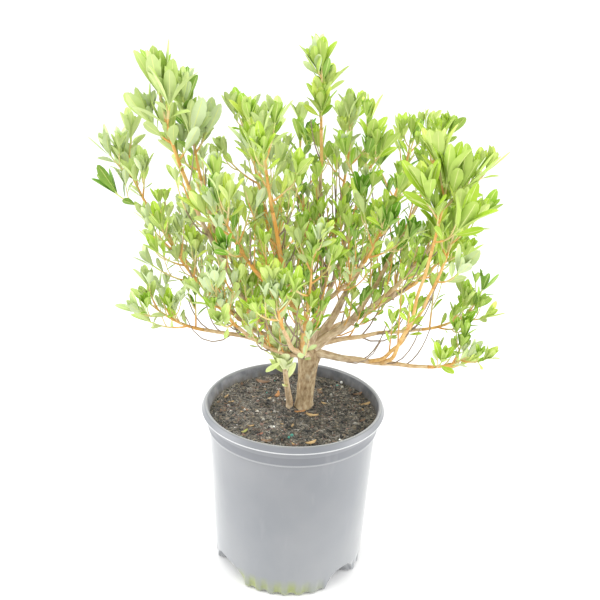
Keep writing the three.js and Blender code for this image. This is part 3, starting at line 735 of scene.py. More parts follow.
class Crown:
    """The twigs and leaves of one zone of the crown."""

    def __init__(self, limbs, masses):
        self.tips = np.array([mass["stem"][-1] - FORK for mass in masses])
        self.twigs = Parts()
        self.leaves = []
        starts, ends, widths = [], [], []
        for limb in limbs.values():
            starts += list(limb["path"][:-1])
            ends += list(limb["path"][1:])
            widths += [max(limb["radii"])] * (len(limb["path"]) - 1)
        self.starts, self.ends, self.widths = map(np.array, (starts, ends, widths))

    def clear(self, point):
        """How far the point stays from the nearest limb's surface."""
        return np.min(distances(self.starts, self.ends, point) - self.widths)

    def has_room(self, path, mass):
        """True where a twig ends within its mass's reach and clear of the limbs."""
        return reach_from(mass, path[-1]) <= mass["reach"] and self.clear(path[-1]) >= TWIG_CLEARANCE

    def deep_inside(self, point):
        """True well inside the crown: nearer to the fork than the mass in that direction."""
        away = np.linalg.norm(self.tips, axis=1)
        nearest = np.argmax(self.tips @ (point - FORK) / away)
        return np.linalg.norm(point - FORK) < SHOOT_DEPTH * away[nearest]

    def twig(self, path, foot_radius, tip_radius, ages):
        """A twig whose faces take the materials named by ages, from its foot to its bud."""
        along = tip_heading(path)
        tip = path[-1]
        radii = [*np.linspace(foot_radius, tip_radius, len(path)), tip_radius * BUD_SWELL, BUD_TIP]
        path = np.array([*path, tip + along * BUD_LENGTH * BUD_MIDDLE, tip + along * BUD_LENGTH])
        points, quads, caps, _ = sweep(path, radii, TWIG_SIDES)
        rings = len(path) - 1
        slots = [ages[min(int(len(ages) * i / rings), len(ages) - 1)] for i in range(rings)]
        self.twigs.add(points, quads, caps, np.repeat(slots, TWIG_SIDES), ages[-1])

    def leaf(self, foot, direction, across, length, tone, outer, draw):
        roll = (draw() - 0.5) * LEAF_ROLL
        upper = np.cross(direction, across)
        across = unit(across * math.cos(roll) + upper * math.sin(roll))
        curl = mix(*(OUTER_CURLS if outer else INNER_CURLS), draw())
        fold = mix(*LEAF_FOLDS, draw())
        width = mix(*LEAF_SHAPES, share_of(length, SHORT_LEAF, LONG_LEAF)) * mix(*LEAF_BREADTHS, draw())
        self.leaves.append([*foot, *direction, *across, length, width, curl, fold, tone])


def reach_from(mass, point):
    """How far a point stays from the stem of a mass."""
    return np.min(distances(mass["stem"][:-1], mass["stem"][1:], point))


def tone_of(place, draw):
    """The colour of a spray: brighter high in the crown and, as painted light, paler to the left, as in the
    photo.
    """
    up, left = share_of(place[2], LOW, HIGH), share_of(place[0], RIGHT, LEFT)
    shares = mix(mix(*RIGHT_SHARES, up), mix(*LEFT_SHARES, up), left)
    return int(np.searchsorted(np.cumsum(shares), draw() * LAST_SHARE))


def mass_tone(mass, place, draw):
    """The colour of a spray of a mass. The sprout on the second stem is pale all over, partly painted light.
    """
    tone = tone_of(place, draw)
    return CREAM if mass["name"] == SPROUT[0] else tone


def place_leaf(crown, mass, foot, along, azimuth, opening, length, tone, fine):
    """Adds a leaf, shorter or not at all where it would pass its mass's reach or touch a limb."""
    direction = branch_off(along, opening, azimuth)
    across = unit(np.cross(along, direction))
    direction = unit(direction + UP * LEAF_LEAN)
    across = unit(across - direction * across.dot(direction))
    low, high = np.array(cad_box) / MM
    for shorter in SHORTER:
        tip = foot + direction * length * shorter
        inside = np.all(tip > low - LEAF_MARGIN) and np.all(tip < high + LEAF_MARGIN)
        near = mass is None or reach_from(mass, tip) < mass["reach"]
        gap = min(crown.clear(tip), crown.clear(mix(foot, tip, LEAF_MIDDLE)))
        if inside and near and gap > LEAF_CLEARANCE:
            crown.leaf(foot, direction, across, length * shorter, tone, opening > WIDE_OPENING, fine)
            return


def whorl_leaf(crown, mass, end, along, turn, outer, size, tone, draw, fine):
    opening = (OUTER_OPENING if outer else INNER_OPENING) * mix(*VARIED, draw())
    length = size * (1 if outer else INNER_SHARE) * mix(*VARIED, draw())
    place_leaf(crown, mass, end, along, turn, opening, length, tone, fine)


def rosette(crown, mass, path, turn, draw, fine, tone, size):
    """The outer and the inner whorl of a twig, as the solids have them, and young leaves within."""
    end, along = path[-1], tip_heading(path)
    for k in range(2 * WHORL):
        outer = k < WHORL
        azimuth = turn + (360 / WHORL) * (k + (0 if outer else 0.5))
        whorl_leaf(crown, mass, end, along, azimuth, outer, size, tone, draw, fine)
    for _ in range(YOUNG_LEAVES):
        length = size * mix(*YOUNG_LENGTHS, fine())
        place_leaf(crown, mass, end, along, 360 * fine(), mix(*YOUNG_OPENINGS, fine()), length, tone, fine)


def small_rosette(crown, mass, end, along, fine, tone, size, count):
    turn = 360 * fine()
    for k in range(count):
        outer = k < count // 2 + 1
        whorl_leaf(crown, mass, end, along, turn + k * GOLDEN_TURN, outer, size, tone, fine, fine)


def alternates(crown, mass, path, count, fine, tone, size, span=ALTERNATE_SPAN):
    """Single leaves along a twig."""
    turn = 360 * fine()
    along = heading(path, ALTERNATE_POINT)
    for k in range(count):
        share = mix(*span, (k + fine() * ALTERNATE_SHIFT) / count)
        foot = point_at(path, min(share, LAST_ALTERNATE))
        length = size * mix(*ALTERNATE_LENGTHS, fine())
        opening = ALTERNATE_OPENING * mix(*VARIED, fine())
        place_leaf(crown, mass, foot, along, turn + k * GOLDEN_TURN, opening, length, tone, fine)


def grow_mass(mass, crown):
    """A mass's stem, side twigs and leaves, drawn as in the solids, and its finer twigs."""
    draw, fine = seeded(mass["seed"]), seeded(mass["seed"] + FINE_SEED)
    first_turn = 360 * draw()
    stem = mass["stem"]
    size = mass["leaf"]
    tone = mass_tone(mass, stem[-1], fine)
    crown.twig(stem, mass["radius"], TIP_RADII[0], STEM_BARK)
    rosette(crown, mass, stem, first_turn, draw, fine, tone, size)
    alternates(crown, mass, stem, SINGLE_LEAVES[0], fine, tone, size)
    along = unit(stem[-1] - stem[0])
    for k in range(mass["twigs"]):
        draw = seeded(mass["seed"] + k + 1)
        share = k / (mass["twigs"] - 1)
        foot = point_at(stem, mix(*SIDE_TWIGS, share))
        direction = branch_off(along, mix(*SPREAD, share), first_turn + k * GOLDEN_TURN)
        length = mass["side"] * mix(*SIDE_TWIG_SHARES, share) * mix(*VARIED, draw())
        path = twig_path(foot, direction, length)
        if not crown.has_room(path, mass):
            continue
        tone = mass_tone(mass, path[-1], fine)
        crown.twig(path, SIDE_TWIG_RADIUS, TIP_RADII[1], SIDE_BARK)
        size = mass["leaf"] * mix(*SIDE_LENGTHS, fine())
        rosette(crown, mass, path, 360 * draw(), draw, fine, tone, size)
        alternates(crown, mass, path, SINGLE_LEAVES[1], fine, tone, size)
        for j, at in enumerate(TWIGLETS):
            finer_twig(crown, mass, path, at, j, length * TWIGLET_SHARE, fine)
    for j, at in enumerate(STEM_TWIGLETS):
        finer_twig(crown, mass, stem, at, j, mass["side"] * TWIGLET_SHARE, fine)


def finer_twig(crown, mass, parent, at, j, length, fine):
    foot = point_at(parent, at)
    turn = 360 * fine() + j * GOLDEN_TURN
    direction = branch_off(heading(parent, PARENT_POINT), TWIGLET_OPENING * mix(*VARIED, fine()), turn)
    path = twig_path(foot, direction, length * mix(*VARIED, fine()), FINE_RINGS, SHOOT_LIFT)
    if not crown.has_room(path, mass):
        return
    tone = mass_tone(mass, path[-1], fine)
    size = mass["leaf"] * mix(*TWIGLET_LENGTHS, fine())
    crown.twig(path, TWIGLET_RADIUS, TIP_RADII[2], TWIGLET_BARK)
    small_rosette(crown, mass, path[-1], tip_heading(path), fine, tone, size, TWIGLET_WHORL)
    alternates(crown, mass, path, SINGLE_LEAVES[2], fine, tone, size)


def grow_shoots(limb, count, bare, seed, crown):
    """Short leafy shoots along a bough, inside the crown, and thin twigs that have lost their leaves."""
    fine = seeded(seed)
    path = smooth_path(np.array(limb["path"]), SHOOT_STEP)
    turn = 360 * fine()
    for k in range(count + bare):
        share = mix(*SHOOT_SPAN, (k + fine()) / (count + bare))
        foot = point_at(path, min(share, 1))
        i = min(int(share * (len(path) - 1)), len(path) - 1)
        direction = branch_off(heading(path, i), mix(*SHOOT_OPENINGS, fine()), turn + k * GOLDEN_TURN)
        shoot = twig_path(foot, direction, mix(*SHOOT_LENGTHS, fine()), FINE_RINGS, SHOOT_LIFT)
        if crown.clear(shoot[-1]) < SHOOT_CLEARANCE or not crown.deep_inside(shoot[-1]):
            continue
        if k >= count:
            crown.twig(shoot, BARE_RADIUS, TIP_RADII[3], [OLD])
            continue
        tone = tone_of(shoot[-1], fine)
        size = mix(*SHOOT_LEAVES, fine())
        crown.twig(shoot, SHOOT_RADIUS, TIP_RADII[3], STEM_BARK if fine() < YOUNG_SHOOTS else OLD_SHOOT_BARK)
        small_rosette(crown, None, shoot[-1], tip_heading(shoot), fine, tone, size, SHOOT_WHORL)
        alternates(crown, None, shoot, SINGLE_LEAVES[3], fine, tone, size, SHOOT_SINGLES)


def dress_stem(limb, crown):
    """Single leaves and upright tufts on the second stem."""
    fine = seeded(SEED + FINE_SEED + 1)
    path = np.array(limb["path"])
    alternates(crown, None, path, STEM_LEAVES, fine, CREAM, SPROUT[-1], STEM_LEAF_SPAN)
    for share, size, count in STEM_TUFTS:
        along = unit(heading(path, PARENT_POINT) + TUFT_LEAN)
        small_rosette(crown, None, point_at(path, share), along, fine, CREAM, size, count)


def leaf_points(rows):
    """Both faces of every leaf, from its foot, directions, length, width, curl and fold."""
    foot, direction, across = rows[:, 0:3], rows[:, 3:6], rows[:, 6:9]
    length, width, curl, fold = rows[:, 9:13].T[..., None]
    upper = np.cross(direction, across)
    columns = np.array(LEAF_COLUMNS)
    along = np.append(np.repeat(LEAF_STATIONS, len(columns)), 1.0)
    sideways = np.append(np.outer(LEAF_WIDTHS, columns).ravel() * 0.5, 0.0)
    inner = np.append(np.tile(np.abs(columns) < 1, len(LEAF_STATIONS)), False)
    rise = curl * (CURL_BALANCE * along - along**2) + fold * width * np.abs(sideways)
    rise = rise - MIDRIB_DEPTH * (1 - np.abs(sideways) * 2) * np.sin(math.pi * along) * width
    points = (
        foot[:, None]
        + direction[:, None] * (length * along)[..., None]
        + across[:, None] * (length * width * sideways)[..., None]
        + upper[:, None] * (length * rise)[..., None]
    )
    sunk = points - upper[:, None] * (inner * LEAF_SHEET)[None, :, None]
    return np.stack([points, sunk], axis=1).reshape(-1, 3)


def leaf_piece(name, leaves, nodes, materials):
    """All leaves of one zone: for each an upper face, with its midrib, and an underside."""
    rows = np.array(leaves)
    tone = rows[:, 13].astype(int)[:, None]
    wide, stations = len(LEAF_COLUMNS), len(LEAF_STATIONS)
    tip = stations * wide
    per_side = tip + 1
    grid = ring_quads(stations, wide, closed=False)
    fan = np.array([[tip - wide + k, tip - wide + k + 1, tip] for k in range(wide - 1)])
    shift = (np.arange(len(rows)) * per_side * 2)[:, None, None]
    middle = np.arange(wide - 1) == (wide - 2) // 2
    pale = np.tile(middle, stations - 1) | (np.arange(len(grid)) < wide - 1)
    rib = len(TONES) * 2
    upper, under = tone * 2, tone * 2 + 1
    quad_slots = [np.where(pale, rib, upper), np.where(pale, rib, under)]
    tri_slots = [np.where(middle, rib, upper), np.broadcast_to(under, (len(rows), wide - 1))]
    parts = Parts()
    parts.add(
        leaf_points(rows),
        np.concatenate([grid, grid[:, ::-1] + per_side])[None] + shift,
        np.concatenate([fan, fan[:, ::-1] + per_side])[None] + shift,
        np.concatenate(quad_slots, axis=1).ravel(),
        np.concatenate(tri_slots, axis=1).ravel(),
    )
    parts.build(name, "leaves", materials, nodes)


# Bark


def limb_course(limb):
    """A limb's path in fine steps, with the slight bends of a grown bough."""
    path = smooth_path(np.array(limb["path"]), BARK_STEP)
    if not limb["name"].startswith("bough"):
        return path
    share = np.linspace(0, 1, len(path))
    length = np.linalg.norm(path[-1] - path[0])
    side, other = cross_pair(heading(path, len(path) // 2))
    rng = np.random.default_rng(sum(map(ord, limb["name"])))
    swing = np.sin(math.pi * share) * length * BOUGH_SWING
    waves = []
    for _ in range(2):
        turns = 2 * math.pi * share * rng.uniform(*SWING_WAVES)
        waves.append(np.sin(turns + rng.uniform(*SWING_STARTS)) * swing)
    return path + waves[0][:, None] * side + waves[1][:, None] * other


def trunk_bark(path):
    """The trunk's rings and their radii, down into the soil and closed within the fork."""
    heights = (path[:, 2] - path[0][2]) / (path[-1][2] - path[0][2])
    radii = np.interp(heights, *np.array(TRUNK_SHAPE).T)
    tops = [path[-1] + UP * rise for rise, _ in TRUNK_CLOSING]
    path = np.array([path[0] - UP * TRUNK_SINK, *path, *tops])
    return path, np.array([radii[0] * TRUNK_FLARE, *radii, *(radii[-1] * wide for _, wide in TRUNK_CLOSING)])


def stem_bark(path, limb):
    radii = np.interp(np.linspace(0, 1, len(path)), np.linspace(0, 1, len(limb["radii"])), limb["radii"])
    return np.array([path[0] - UP * STEM_SINK, *path]), np.array([radii[0], *radii])


def bough_bark(path, limb):
    """A bough's radii, and the age of its bark at each ring."""
    name = limb["name"].removeprefix("bough_")
    share = np.linspace(0, 1, len(path))
    thick, thin = limb["radii"][0], limb["radii"][-1]
    flare = 1 + FOOT_FLARE[0] * np.exp(-share * FOOT_FLARE[1])
    radii = thin + (thick - thin) * (1 - share) ** TAPER * flare
    young = np.clip((OLD_RADIUS - radii) / (OLD_RADIUS - YOUNG_RADIUS), 0, 1)
    ages = mix(OLD_BOUGH_AGE, 1, young * RIPENESS.get(name, USUAL_RIPENESS))
    if name in DARK_FEET:
        ages = mix(DARK_FOOT_AGE, ages, np.clip((share - DARK_FEET[name]) / DARK_FADE, 0, 1))
    return radii, ages


def bark_relief(straight, seed):
    return sum(
        share * ripple(straight * stretch, seed + shift, wavelength)
        for share, shift, wavelength, stretch in BARK_RELIEF
    )


def add_stub(parts, limb, share, opening, turn, length, radius):
    """The short end of a branch that was cut off, with pale wood on the cut."""
    path = np.array(limb["path"])
    foot = point_at(path, share)
    direction = branch_off(heading(path, int(share * (len(path) - 1))), opening, turn)
    spine = np.array([foot + direction * length * at for at, _ in STUB_SHAPE])
    radii = [radius * wide for _, wide in STUB_SHAPE]
    depth, seed, wavelength = STUB_RELIEF
    points, quads, caps, straight = sweep(
        spine, radii, STUB_SIDES, lambda straight: depth * ripple(straight, seed, wavelength)
    )
    parts.add(points, quads, caps, grain=straight, age=np.repeat(STUB_AGES, STUB_SIDES))


def bark_piece(limbs, materials, nodes):
    parts = Parts()
    for name, *stub in STUBS:
        add_stub(parts, limbs[f"bough_{name}"], *stub)
    for i, limb in enumerate(limbs.values()):
        path = limb_course(limb)
        if limb["name"] == "trunk":
            path, radii = trunk_bark(path)
            sides, depth, ages = TRUNK_SIDES, THICK_RELIEF, np.full(len(path), TRUNK_AGE)
        elif limb["name"] == "second_stem":
            path, radii = stem_bark(path, limb)
            sides, depth, ages = STEM_SIDES, THICK_RELIEF, np.full(len(path), STEM_AGE)
        else:
            radii, ages = bough_bark(path, limb)
            sides, depth = BOUGH_SIDES, BOUGH_RELIEF
        points, quads, caps, straight = sweep(
            path, radii, sides, lambda straight: depth * bark_relief(straight, i)
        )
        grain = straight + UP * GRAIN_SHIFT * i
        parts.add(points, quads, caps, grain=grain, age=np.repeat(ages, sides))
    parts.build("bark", "bark", materials, nodes)


# Pot and soil


def cove_height(points):
    """How far the coves raise the foot of the pot at places on the plan."""
    height = np.zeros(len(points))
    for degrees, half_width in COVES:
        turn = math.radians(degrees)
        out = points[:, 0] * math.cos(turn) + points[:, 1] * math.sin(turn)
        across = points[:, 1] * math.cos(turn) - points[:, 0] * math.sin(turn)
        share = mix(COVE_END_SHARE, 1, (out - BASE_RADIUS + COVE_REACH_IN) / COVE_REACH_IN)
        share = np.maximum(share, LEAST_SHARE)
        place = np.clip(np.abs(across) / (half_width * share), 0, 1)
        arch = COVE_HEIGHT * share * (1 - place**COVE_ROUND) ** COVE_EASE
        height = np.maximum(height, np.where(out > BASE_RADIUS - COVE_REACH_IN, arch, 0))
    return height


def foot_rings(plan, slots):
    """Radii and heights from the middle of the underside over the slotted foot up to level rows."""
    arch = cove_height(plan * BASE_RADIUS)
    edge = arch + SLOT_RISE * slots * np.clip(1 - arch / SLOT_HEIGHT, 0, 1)
    under = np.arange(UNDER_START, BASE_RADIUS - 3 * FOOT_ROUND, UNDER_STEP)
    rings = []
    for radius in np.append(under, BASE_RADIUS - 2 * FOOT_ROUND):
        rings.append((np.full(POT_SIDES, radius), cove_height(plan * radius)))
    rings.append((BASE_RADIUS - FOOT_ROUND - SLOT_DEPTH * slots, edge))
    for share in (np.arange(FOOT_ROWS) / FOOT_ROWS) ** FOOT_CROWDING:
        z = mix(edge, FOOT_TOP, share)
        radius = wall_radius(z)
        radius = radius - FOOT_ROUND * np.clip(1 - (z - edge) / FOOT_ROUND, 0, 1) ** 2
        radius = radius - SLOT_DEPTH * slots * np.clip(SLOT_FADE - SLOT_FADE * z / SLOT_HEIGHT, 0, 1)
        rings.append((radius, z))
    return rings


def wall_radius(z):
    return mix(BASE_RADIUS, BODY_TOP_RADIUS, z / (POT_HEIGHT - COLLAR_DEPTH))


def level_ring(radius, z):
    return np.full(POT_SIDES, radius), np.full(POT_SIDES, z)


def pot_piece(materials):
    angles, plan = round_plan(POT_SIDES)
    spacing = np.cos(angles * SLOTS + np.sin(SLOT_WANDER * angles))
    slots = np.clip(0.5 + SLOT_STEEPNESS * 0.5 * spacing, 0, 1)
    rings = foot_rings(plan, slots)
    rings += [level_ring(wall_radius(z), z) for z in np.linspace(FOOT_TOP, RIM[0][1] - 1, WALL_ROWS)]
    colour_slots = [WALL] * len(rings) + [colour_slot for _, _, colour_slot in RIM]
    rings += [level_ring(radius, z) for radius, z, _ in RIM]
    wave = sum(depth * np.sin(count * angles + start) for depth, count, start in WALL_WAVES)
    points = []
    for radius, z in rings:
        radius = radius + (wave - WAVE_INSET) * np.clip((z - WAVE_START) / WAVE_SPAN, 0, 1)
        points.append(np.stack([radius * plan[:, 0], radius * plan[:, 1], z], axis=-1))
    points = np.concatenate(points)
    start, full = np.cos(np.radians(GROWTH_SPAN))
    front = np.clip((np.cos(angles - math.radians(GROWTH_TURN)) - start) / (full - start), 0, 1)
    growth = np.tile(mix(RIB_GROWTH, 1, slots) * front, len(rings))
    growth = growth * np.clip(1 - points[:, 2] / GROWTH_HEIGHT, 0, 1)
    parts = Parts()
    colour_slot = np.repeat(colour_slots[:-1], POT_SIDES)
    parts.add(points, ring_quads(len(rings), POT_SIDES), cap_tris(0, POT_SIDES, True), colour_slot, growth=growth)
    parts.build("pot_wall", "pot", materials, ["pot"])


def soil_height(plan):
    """Height of the soil's surface at places on the plan."""
    flat = np.column_stack([plan, np.zeros(len(plan))])
    height = np.full(len(plan), SOIL_LEVEL - SOIL_DROP)
    calm = np.clip((SOIL_EDGE - np.linalg.norm(plan, axis=1)) / SOIL_LEVEL_EDGE, SOIL_CALM, 1)
    for i, (wavelength, depth) in enumerate(SOIL_RELIEF):
        height += depth * calm * ripple(flat, SOIL_SEED + i, wavelength)
    away = np.linalg.norm(plan - np.array(TRUNK_FOOT), axis=1)
    return height + MOUND[0] * np.exp(-((away / MOUND[1]) ** 2))


def soil_surface(material):
    radii = np.append(np.arange(SOIL_CENTRE, SOIL_EDGE, SOIL_STEP), SOIL_EDGE)
    _, circle = round_plan(SOIL_SIDES)
    plan = (radii[:, None, None] * circle).reshape(-1, 2)
    points = np.column_stack([plan, soil_height(plan)])
    parts = Parts()
    parts.add(points, ring_quads(len(radii), SOIL_SIDES), cap_tris(0, SOIL_SIDES, True))
    parts.build("soil_surface", "soil", [material], ["soil"])


def scatter(rng, count, margin=CRUMB_MARGIN):
    """Places spread evenly over the soil."""
    radius, turn = (SOIL_EDGE - margin) * np.sqrt(rng.random(count)), 2 * math.pi * rng.random(count)
    plan = np.column_stack([radius * np.cos(turn), radius * np.sin(turn)])
    return np.column_stack([plan, soil_height(plan)])


def add_crumb(parts, place, rng):
    size = rng.choice(CRUMB_SIZES, p=CRUMB_SHARES)
    shape = CRUMB_POINTS * rng.uniform(*CRUMB_VARIED, (len(CRUMB_POINTS), 1)) * CRUMB_SHAPE * size
    turn = rng.uniform(0, 360)
    points = np.array([turned(p, turn) for p in shape]) + place
    slot = rng.choice(len(DARK_LITTER), p=DARK_SHARES)
    parts.add(points, np.empty((0, 4)), CRUMB_FACES, 0, slot)


def add_fibre(parts, place, rng):
    turn, length, bend = rng.uniform(0, 360), rng.uniform(*FIBRE_LENGTHS), rng.normal(0, FIBRE_BEND)
    spans = np.linspace(-0.5, 0.5, len(FIBRE_RADII))
    path = np.array([[s * length, bend * length * (s * s - FIBRE_ARCH), 0.0] for s in spans])
    path = np.array([turned(p, turn) for p in path]) + place
    path[:, 2] = soil_height(path[:, :2]) + rng.uniform(*FIBRE_LIFTS)
    points, quads, caps, _ = sweep(path, FIBRE_RADII, FIBRE_SIDES)
    slot = rng.choice(len(DARK_LITTER), p=FIBRE_SHARES)
    parts.add(points, quads, caps, slot, slot)


def add_chip(parts, place, size, turn, slot, rng):
    """A curled flake of bark."""
    across, along = np.meshgrid(CHIP_ACROSS, CHIP_ALONG)
    across, along = across.ravel(), along.ravel()
    wide, long = len(CHIP_ACROSS), len(CHIP_ALONG)
    count = wide * long
    half = np.array(CHIP_WIDTHS).repeat(wide) * rng.uniform(*CHIP_VARIED, count)
    curl = CHIP_CURL[0] * (along**2) + CHIP_CURL[1] * (1 - across**2)
    flat = np.column_stack([along, across * half, curl]) * size
    lifted = np.array([turned(p, turn) for p in flat]) + [place[0], place[1], 0]
    ground = soil_height(np.array([[place[0], place[1]]]))[0]
    lifted[:, 2] += ground + CHIP_LIFT
    under = lifted - UP * CHIP_THICKNESS
    grid = ring_quads(long, wide, closed=False)
    indices = np.arange(count).reshape(long, wide)
    rim = [*indices[0], *indices[1:, -1], *indices[-1, -2::-1], *indices[-2:0:-1, 0]]
    side = [[rim[i - 1], rim[i], rim[i] + count, rim[i - 1] + count] for i in range(len(rim))]
    quads = np.concatenate([grid, grid[:, ::-1] + count, side])
    parts.add(np.concatenate([lifted, under]), quads, np.empty((0, 3)), slot)


def add_grain(parts, place, size, slot, rng):
    """A small rounded grain or bead, half sunk in the soil."""
    ground = soil_height(np.array([[place[0], place[1]]]))[0] + GRAIN_RISE * size
    spine = np.array([[place[0], place[1], ground + size * up] for up, _ in GRAIN_SHAPE])
    radii = [size * wide * rng.uniform(*GRAIN_VARIED) for _, wide in GRAIN_SHAPE]
    points, quads, caps, _ = sweep(spine, radii, GRAIN_SIDES)
    parts.add(points, quads, caps, slot, slot)


def soil_litter(materials):
    """Crumbs, fibres, bark chips, pale grains and feed beads on the soil."""
    rng = np.random.default_rng(LITTER_SEED)
    parts = Parts()
    for place in scatter(rng, CRUMBS):
        add_crumb(parts, place, rng)
    for place in scatter(rng, FIBRES, FIBRE_MARGIN):
        add_fibre(parts, place, rng)
    for place in scatter(rng, CHIPS):
        size, turn = rng.uniform(*CHIP_SIZES), rng.uniform(0, 360)
        add_chip(parts, place, size, turn, rng.choice([CHIP_TAN, CHIP_BROWN]), rng)
    for x, y, size, turn, slot in MARKS:
        add_chip(parts, (x, y), size, turn, slot, rng)
    for i, place in enumerate(scatter(rng, PEARLS, PEARL_MARGIN)):
        add_grain(parts, place, rng.uniform(*PEARL_SIZES), PEARL if i % PEARLS_TO_BEAD else BEAD, rng)
    for x, y, size, slot in GRAINS:
        add_grain(parts, (x, y), size, slot, rng)
    parts.build("soil_litter", "soil", materials, ["soil"])


# Materials


def node(tree, kind, place, **settings):
    made = tree.nodes.new(kind)
    made.location = place
    for name, value in settings.items():
        setattr(made, name, value)
    return made


def plain(name, colour, roughness, specular=0.5):
    """A material with one colour, whose numbers sit on the shader itself."""
    material = bpy.data.materials.new(name)
    material.use_nodes = True
    shader = material.node_tree.nodes["Principled BSDF"]
    shader.inputs["Base Color"].default_value = (*colour, 1)
    shader.inputs["Roughness"].default_value = roughness
    shader.inputs["Specular IOR Level"].default_value = specular
    return material


def shader_socket(tree, name="Base Color"):
    return tree.nodes["Principled BSDF"].inputs[name]


def grey(value):
    return (value, value, value)


def noise(tree, coordinates, scale, detail=3.0, stretch=None):
    """A noise pattern at a scale in waves per metre, or squeezed along each axis by stretch."""
    made = node(tree, "ShaderNodeTexNoise", (-600, 0))
    made.inputs["Scale"].default_value = scale
    made.inputs["Detail"].default_value = detail
    if stretch is not None:
        squeeze = node(tree, "ShaderNodeVectorMath", (-800, 0), operation="MULTIPLY")
        squeeze.inputs[1].default_value = stretch
        tree.links.new(coordinates, squeeze.inputs[0])
        coordinates = squeeze.outputs[0]
    tree.links.new(coordinates, made.inputs["Vector"])
    return made.outputs["Fac"]


def ramp(tree, value, stops):
    """Colours by a value: stops are [place, colour]."""
    made = node(tree, "ShaderNodeValToRGB", (-400, 0))
    elements = made.color_ramp.elements
    while len(elements) < len(stops):
        elements.new(0.5)
    for element, (place, colour) in zip(elements, stops):
        element.position = place
        element.color = (*colour, 1)
    tree.links.new(value, made.inputs["Fac"])
    return made.outputs["Color"]


def blend(tree, share, one, other, mode="MIX"):
    made = node(tree, "ShaderNodeMix", (-200, 0), data_type="RGBA", blend_type=mode)
    for i, value in zip(MIX_INPUTS, (share, one, other)):
        socket = made.inputs[i]
        if isinstance(value, bpy.types.NodeSocket):
            tree.links.new(value, socket)
        else:
            socket.default_value = value if isinstance(value, float) else (*value, 1)
    return made.outputs[MIX_OUTPUT]


def times(tree, one, other):
    return blend(tree, 1.0, one, other, "MULTIPLY")


def share_from(tree, value, start, end):
    """How far a value has gone from start to end, from 0 to 1."""
    made = node(tree, "ShaderNodeMapRange", (-700, -300))
    made.inputs["From Min"].default_value = start
    made.inputs["From Max"].default_value = end
    tree.links.new(value, made.inputs["Value"])
    return made.outputs["Result"]


def bump(tree, height, strength, distance):
    made = node(tree, "ShaderNodeBump", (-200, -300))
    made.inputs["Strength"].default_value = strength
    made.inputs["Distance"].default_value = distance
    tree.links.new(height, made.inputs["Height"])
    tree.links.new(made.outputs["Normal"], shader_socket(tree, "Normal"))


def object_place(tree):
    return node(tree, "ShaderNodeTexCoord", (-1000, 0)).outputs["Object"]


def field(tree, name, output="Fac"):
    """Values that a piece's points carry."""
    return node(tree, "ShaderNodeAttribute", (-1200, 0), attribute_name=name).outputs[output]


def axis_of(tree, place, axis):
    parts = node(tree, "ShaderNodeSeparateXYZ", (-900, -300))
    tree.links.new(place, parts.inputs[0])
    return parts.outputs[axis]


def painted_left_light(tree, place, colour, gain):
    """The colour made paler towards the left: painted light on the soil, the litter and the inner wall."""
    left = share_from(tree, axis_of(tree, place, "X"), *LEFT_LIGHT_SPAN)
    dust_and_left_light = ramp(tree, left, [[0.0, grey(1.0)], [1.0, (gain, gain, gain * LEFT_LIGHT_BLUE)]])
    return times(tree, colour, dust_and_left_light)


def mottled(name, colour, variation, roughness):
    """A leaf, twig or crumb: one colour with faint clouds of another."""
    material = plain(name, colour, roughness, specular=0.22)
    tree = material.node_tree
    clouds = noise(tree, object_place(tree), scale=45.0, detail=2.0)
    tree.links.new(ramp(tree, clouds, [[0.35, colour], [0.65, variation]]), shader_socket(tree))
    return material


def scaled(colour, share):
    return tuple(share * c for c in colour)


def leaf_materials():
    made = []
    for name, (face, variation, under) in LEAF_TONES.items():
        made.append(mottled(f"leaf_{name}", face, variation, roughness=0.48))
        made.append(mottled(f"leaf_{name}_under", under, scaled(under, 0.85), roughness=0.6))
    made.append(mottled("leaf_midrib", RIB_COLOUR, scaled(RIB_COLOUR, 0.88), roughness=0.5))
    return made


def twig_materials():
    return [mottled(name, *colours, roughness=0.55) for name, colours in TWIG_COLOURS.items()]


def litter_materials():
    made = []
    kinds = {f"crumb_{i}": colour for i, colour in enumerate(DARK_LITTER)} | BRIGHT_LITTER
    for name, colour in kinds.items():
        material = mottled(name, scaled(colour, 0.6), scaled(colour, 1.15), roughness=0.85)
        tree = material.node_tree
        socket = shader_socket(tree)
        # painted light: paler towards the left
        tree.links.new(painted_left_light(tree, object_place(tree), socket.links[0].from_socket, SOIL_LEFT_LIGHT), socket)
        made.append(material)
    return made


def bark_material():
    """Streaked bark from the trunk's brown over grey to a young bough's orange, with pale lichen."""
    material = plain("bark", BARK_COLOUR, roughness=0.85, specular=0.25)
    tree = material.node_tree
    grain, age = field(tree, "grain", "Vector"), field(tree, "age")
    streaks = noise(tree, grain, scale=0.26, detail=6.0, stretch=(1.0, 1.0, 0.45))
    patches = noise(tree, grain, scale=0.09, detail=3.0, stretch=(1.0, 1.0, 0.5))
    brown, grey_bark, young = (ramp(tree, streaks, stops) for stops in (BROWN_BARK, GREY_BARK, YOUNG_BARK))
    elder = blend(tree, share_from(tree, age, start=0.0, end=OLD_BOUGH_AGE), brown, grey_bark)
    bark = blend(tree, share_from(tree, age, start=OLD_BOUGH_AGE, end=1.0), elder, young)
    bark = blend(tree, share_from(tree, age, start=1.0, end=1.5), bark, VIVID_BARK)
    lichen = ramp(tree, patches, [[0.56, grey(0)], [0.72, grey(0.45)]])
    tree.links.new(blend(tree, lichen, bark, LICHEN), shader_socket(tree))
    bump(tree, streaks, strength=0.5, distance=0.0012)
    return material


